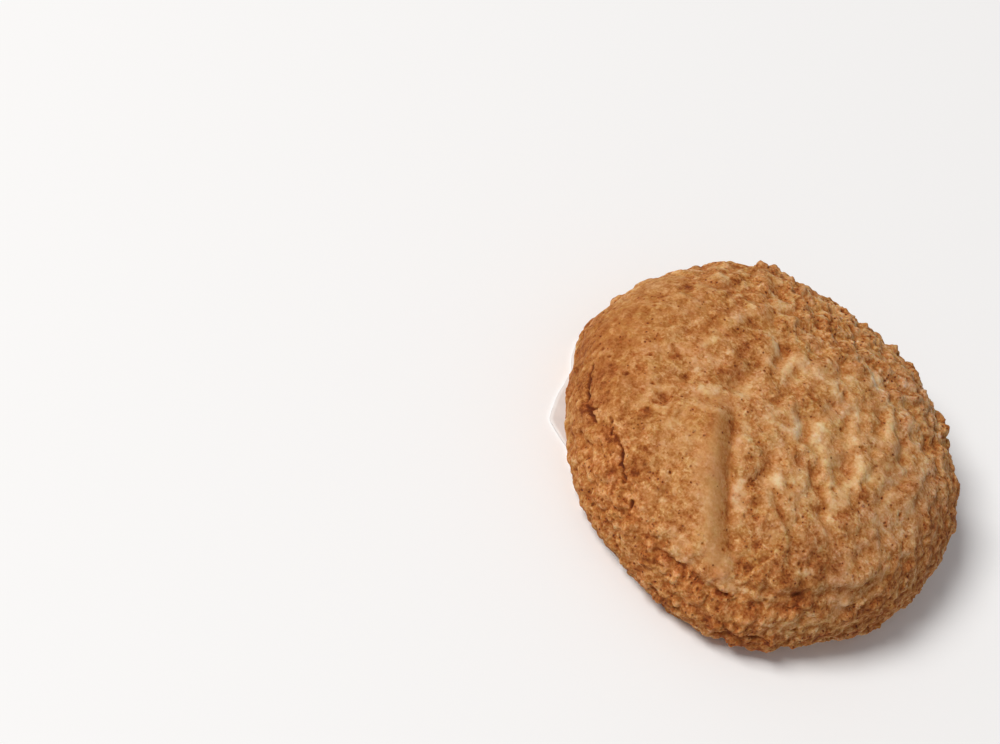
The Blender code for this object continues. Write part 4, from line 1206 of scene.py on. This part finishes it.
# How one value follows another: the two ends that are read, and the values they turn into
TONE_BY_COARSENESS = (0.05, 0.5, 0.35, 1.0)
SPECKLE_BY_COARSENESS = (0.35, 0.9, 0.15, 0.5)
TINT_BY_NOISE = (0.46, 0.66, 0.0, 1.0)
CLUSTER_BY_NOISE = (0.4, 0.58, 0.0, 1.0)
CLUSTER_BY_COARSENESS = (0.6, 1.1, 0.0, 1.0)
CLUSTER_BY_TOAST = (0.25, 0.5, 0.3, 1.0)
WIDE_PORES_BY_COARSENESS = (0.5, 0.9, 0.0, 0.6)
CRACK_BY_DEPTH = (0.25, 0.8, 0.0, 0.85)
ROUGHNESS_BY_NOISE = (0.3, 0.7, 0.78, 0.97)
BUMP_BY_COARSENESS = (0.2, 1.2, 0.3, 1.0)

# The fine bump, the shine, how light spreads inside the crust, and the plain finishes
GRAIN_BUMP = -0.5
BUMP_DISTANCE = 0.11 * MM
CRUST_SHINE = 0.2
GLOW_WEIGHT = 0.6
GLOW_RADIUS = (1.0, 0.4, 0.16)
GLOW_SCALE = 0.7 * MM
PAPER_STOPS = ((0.3, colour(218, 211, 207)), (0.7, colour(227, 220, 216)))
PAPER_ROUGHNESS = 0.7
FLOOR_ROUGHNESS = 0.9


def toned(made, browned_and_shaded, coarse, bent, fine):
    """The browning with the crust's grains added: cells of their own tone in two sizes and
    fine noise, less their mean, and broader speckles, each stronger where it is coarse."""
    grain_tone = made.cells(bent, GRAIN_TONE_SIZE)[1]
    grit_tone = made.cells(bent, GRIT_TONE_SIZE)[1]
    tone = made.maths("MULTIPLY", grit_tone, GRIT_TONE)
    tone = made.maths("MULTIPLY_ADD", grain_tone, GRAIN_TONE, tone)
    tone = made.maths("MULTIPLY_ADD", fine, FINE_TONE, tone)
    tone = made.maths("SUBTRACT", tone, 0.5 * (GRIT_TONE + GRAIN_TONE + FINE_TONE))
    speckle = made.maths("SUBTRACT", made.noise(*SPECKLE_NOISE).outputs[0], 0.5)
    toast_and_shade = made.maths("MULTIPLY_ADD", tone, made.rescale(coarse, *TONE_BY_COARSENESS), browned_and_shaded)
    speckled = made.rescale(coarse, *SPECKLE_BY_COARSENESS)
    return made.maths("MULTIPLY_ADD", speckle, speckled, toast_and_shade)


def tinted(made, shade):
    """The colour with soft pink and olive places, turned redder at rusty places and by
    painted red shade in hollows and the seam, and grey by painted shade on places turned
    from the lamp.
    """
    for noise, tint in ((PINK_NOISE, PINK_TINT), (OLIVE_NOISE, OLIVE_TINT)):
        place = made.rescale(made.noise(*noise).outputs[0], *TINT_BY_NOISE)
        shade = made.blend(place, shade, tint, "MULTIPLY")
    turn = made.attribute("rust_and_shade")
    shade = made.blend(made.rescale(turn, 0.0, 1.0), shade, RED_TINT, "MULTIPLY")
    return made.blend(made.rescale(turn, 0.0, -1.0), shade, GREY_SHADE_TINT, "MULTIPLY")


def pored(made, shade, browned_and_shaded, coarse, bent):
    """The colour with its pores, and the bump's share of them: clusters of small pores with
    rusty halos, wide pores in the coarse places, and lone fine ones anywhere."""
    clusters = made.rescale(made.noise(*CLUSTER_NOISE).outputs[0], *CLUSTER_BY_NOISE)
    clusters = made.maths("MAXIMUM", clusters, made.rescale(coarse, *CLUSTER_BY_COARSENESS))
    clusters = made.maths("MULTIPLY", clusters, made.rescale(browned_and_shaded, *CLUSTER_BY_TOAST))
    halos = made.maths("MULTIPLY", made.spots(bent, *PORE_HALOS), clusters)
    shade = made.blend(made.maths("MULTIPLY", halos, HALO_STRENGTH), shade, RUST_COLOUR)
    small = made.maths("MULTIPLY", made.spots(bent, *SMALL_PORES), clusters)
    wide = made.rescale(coarse, *WIDE_PORES_BY_COARSENESS)
    wide = made.maths("MULTIPLY", made.spots(bent, *WIDE_PORES), wide)
    lone = made.spots(made.place(), *LONE_PORES)
    # The pores' dark colour is partly toasted specks, partly painted shade in the holes
    for pores, strength in ((small, SMALL_PORE_STRENGTH), (wide, 1.0), (lone, LONE_PORE_STRENGTH)):
        shade = made.blend(made.maths("MULTIPLY", pores, strength), shade, PORE_TOAST_AND_SHADE_COLOUR)
    sunk = made.maths("MULTIPLY", wide, WIDE_PORE_BUMP)
    return shade, made.maths("MULTIPLY_ADD", small, SMALL_PORE_BUMP, sunk)


def crust_material():
    """Baked coconut: colour by how brown it is, painted light and shade mixed in, with grains
    of their own tone, soft tints, clusters of dark pores and dark cracks that hold painted
    shade, and a fine, dry grain."""
    made = Nodes("baked_crust")
    bent = made.bent_place(*GRAIN_BEND)
    coarse = made.attribute("coarseness")
    # How brown the crust is, with painted light and shade mixed in
    browned_and_shaded = made.attribute("toast_and_shade")
    fine = made.noise(*FINE_NOISE).outputs[0]
    toast_and_shade = toned(made, browned_and_shaded, coarse, bent, fine)
    shade = tinted(made, made.ramp(made.rescale(toast_and_shade, *TOAST_RANGE), CRUST_STOPS))
    shade, sunk = pored(made, shade, browned_and_shaded, coarse, bent)
    # Painted shade darkens the cracks
    crack_shade = made.rescale(made.attribute("cracks"), *CRACK_BY_DEPTH)
    shader = made.shader.inputs
    made.link(made.blend(crack_shade, shade, CRACK_SHADE_COLOUR), shader["Base Color"])
    made.link(made.rescale(fine, *ROUGHNESS_BY_NOISE), shader["Roughness"])
    shader["Specular IOR Level"].default_value = CRUST_SHINE
    shader["Subsurface Weight"].default_value = GLOW_WEIGHT
    shader["Subsurface Radius"].default_value = GLOW_RADIUS
    shader["Subsurface Scale"].default_value = GLOW_SCALE
    grain_distance = made.cells(bent, GRAIN_TONE_SIZE)[0]
    height = made.maths("MULTIPLY_ADD", grain_distance, GRAIN_BUMP, fine)
    bump = made.add("ShaderNodeBump")
    made.link(made.rescale(coarse, *BUMP_BY_COARSENESS), bump.inputs["Strength"])
    bump.inputs["Distance"].default_value = BUMP_DISTANCE
    made.link(made.maths("ADD", height, sunk), bump.inputs["Height"])
    made.link(bump.outputs[0], shader["Normal"])
    return made.material


def paper_material():
    """Dry white wafer paper, a little uneven."""
    made = Nodes("wafer_paper")
    mottle = made.noise(*PAPER_NOISE).outputs[0]
    made.link(made.ramp(mottle, PAPER_STOPS), made.shader.inputs["Base Color"])
    made.shader.inputs["Roughness"].default_value = PAPER_ROUGHNESS
    return made.material


def floor_material():
    """A plain pale floor."""
    made = Nodes("pale_floor")
    made.shader.inputs["Base Color"].default_value = (FLOOR_SHADE, FLOOR_SHADE, FLOOR_SHADE, 1.0)
    made.shader.inputs["Roughness"].default_value = FLOOR_ROUGHNESS
    made.shader.inputs["Specular IOR Level"].default_value = 0.0
    return made.material


def turned(axis, degrees):
    """The matrix of a turn about an axis."""
    return np.array(Matrix.Rotation(np.radians(degrees), 3, axis))


def make_camera(middle):
    """The photo's viewpoint, with the aim point on its pixel of the frame.

    The camera looks at the aim point from its elevation, is rolled in its own image, and
    is then turned by the small angle that brings the aim point to its pixel.
    """
    tilt = np.radians(CAMERA_ELEVATION)
    back = np.array([0.0, -np.cos(tilt), np.sin(tilt)])
    right = np.array([1.0, 0.0, 0.0])
    upright = np.stack([right, np.cross(back, right), back], axis=1)
    ray = np.array([
        (AIM_PIXEL[0] - FRAME_WIDTH / 2.0) / FOCAL_PIXELS,
        (FRAME_HEIGHT / 2.0 - AIM_PIXEL[1]) / FOCAL_PIXELS,
        -1.0,
    ])
    ray /= np.linalg.norm(ray)
    axis = np.cross([0.0, 0.0, -1.0], ray)
    swing = turned(axis.tolist(), np.degrees(np.arcsin(np.linalg.norm(axis))))
    turn = upright @ turned("Z", CAMERA_ROLL) @ swing.T
    place = np.array([0.0, 0.0, AIM_HEIGHT]) - middle + CAMERA_DISTANCE * back
    lens = bpy.data.cameras.new("camera")
    lens.sensor_width = SENSOR_WIDTH
    lens.lens = FOCAL_PIXELS / FRAME_WIDTH * SENSOR_WIDTH
    lens.clip_start = CAMERA_NEAR
    camera = bpy.data.objects.new("camera", lens)
    bpy.context.scene.collection.objects.link(camera)
    matrix = Matrix(turn.tolist()).to_4x4()
    matrix.translation = place.tolist()
    camera.matrix_world = matrix
    bpy.context.scene.camera = camera


def make_stage():
    """The pale floor, a soft key light from the left and a bright, even surround."""
    square = np.array([[-1.0, -1.0], [1.0, -1.0], [1.0, 1.0], [-1.0, 1.0]]) * FLOOR_HALF
    corners = np.column_stack([square, np.full(4, -FLOOR_DROP)])
    mesh_object("floor", corners, np.array([[0, 1, 2], [0, 2, 3]]), floor_material())
    light = bpy.data.lights.new("key", "AREA")
    light.energy = KEY_POWER
    light.size = KEY_SIZE
    light.color = KEY_COLOUR
    key = bpy.data.objects.new("key", light)
    bpy.context.scene.collection.objects.link(key)
    way = Vector(KEY_WAY).normalized()
    key.location = way * KEY_DISTANCE
    key.rotation_euler = way.to_track_quat("Z", "Y").to_euler()
    world = bpy.data.worlds.new("surround")
    world.use_nodes = True
    surround = world.node_tree.nodes["Background"]
    surround.inputs["Color"].default_value = (*SURROUND_COLOUR, 1.0)
    surround.inputs["Strength"].default_value = SURROUND_STRENGTH
    bpy.context.scene.world = world
    bpy.context.scene.view_settings.view_transform = "Standard"


crust, middle = make_crust()
wafer = make_wafer(middle)
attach(crust, "root")
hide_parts("macaroon")
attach(wafer, "root")
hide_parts("wafer_paper")
make_camera(middle)
make_stage()
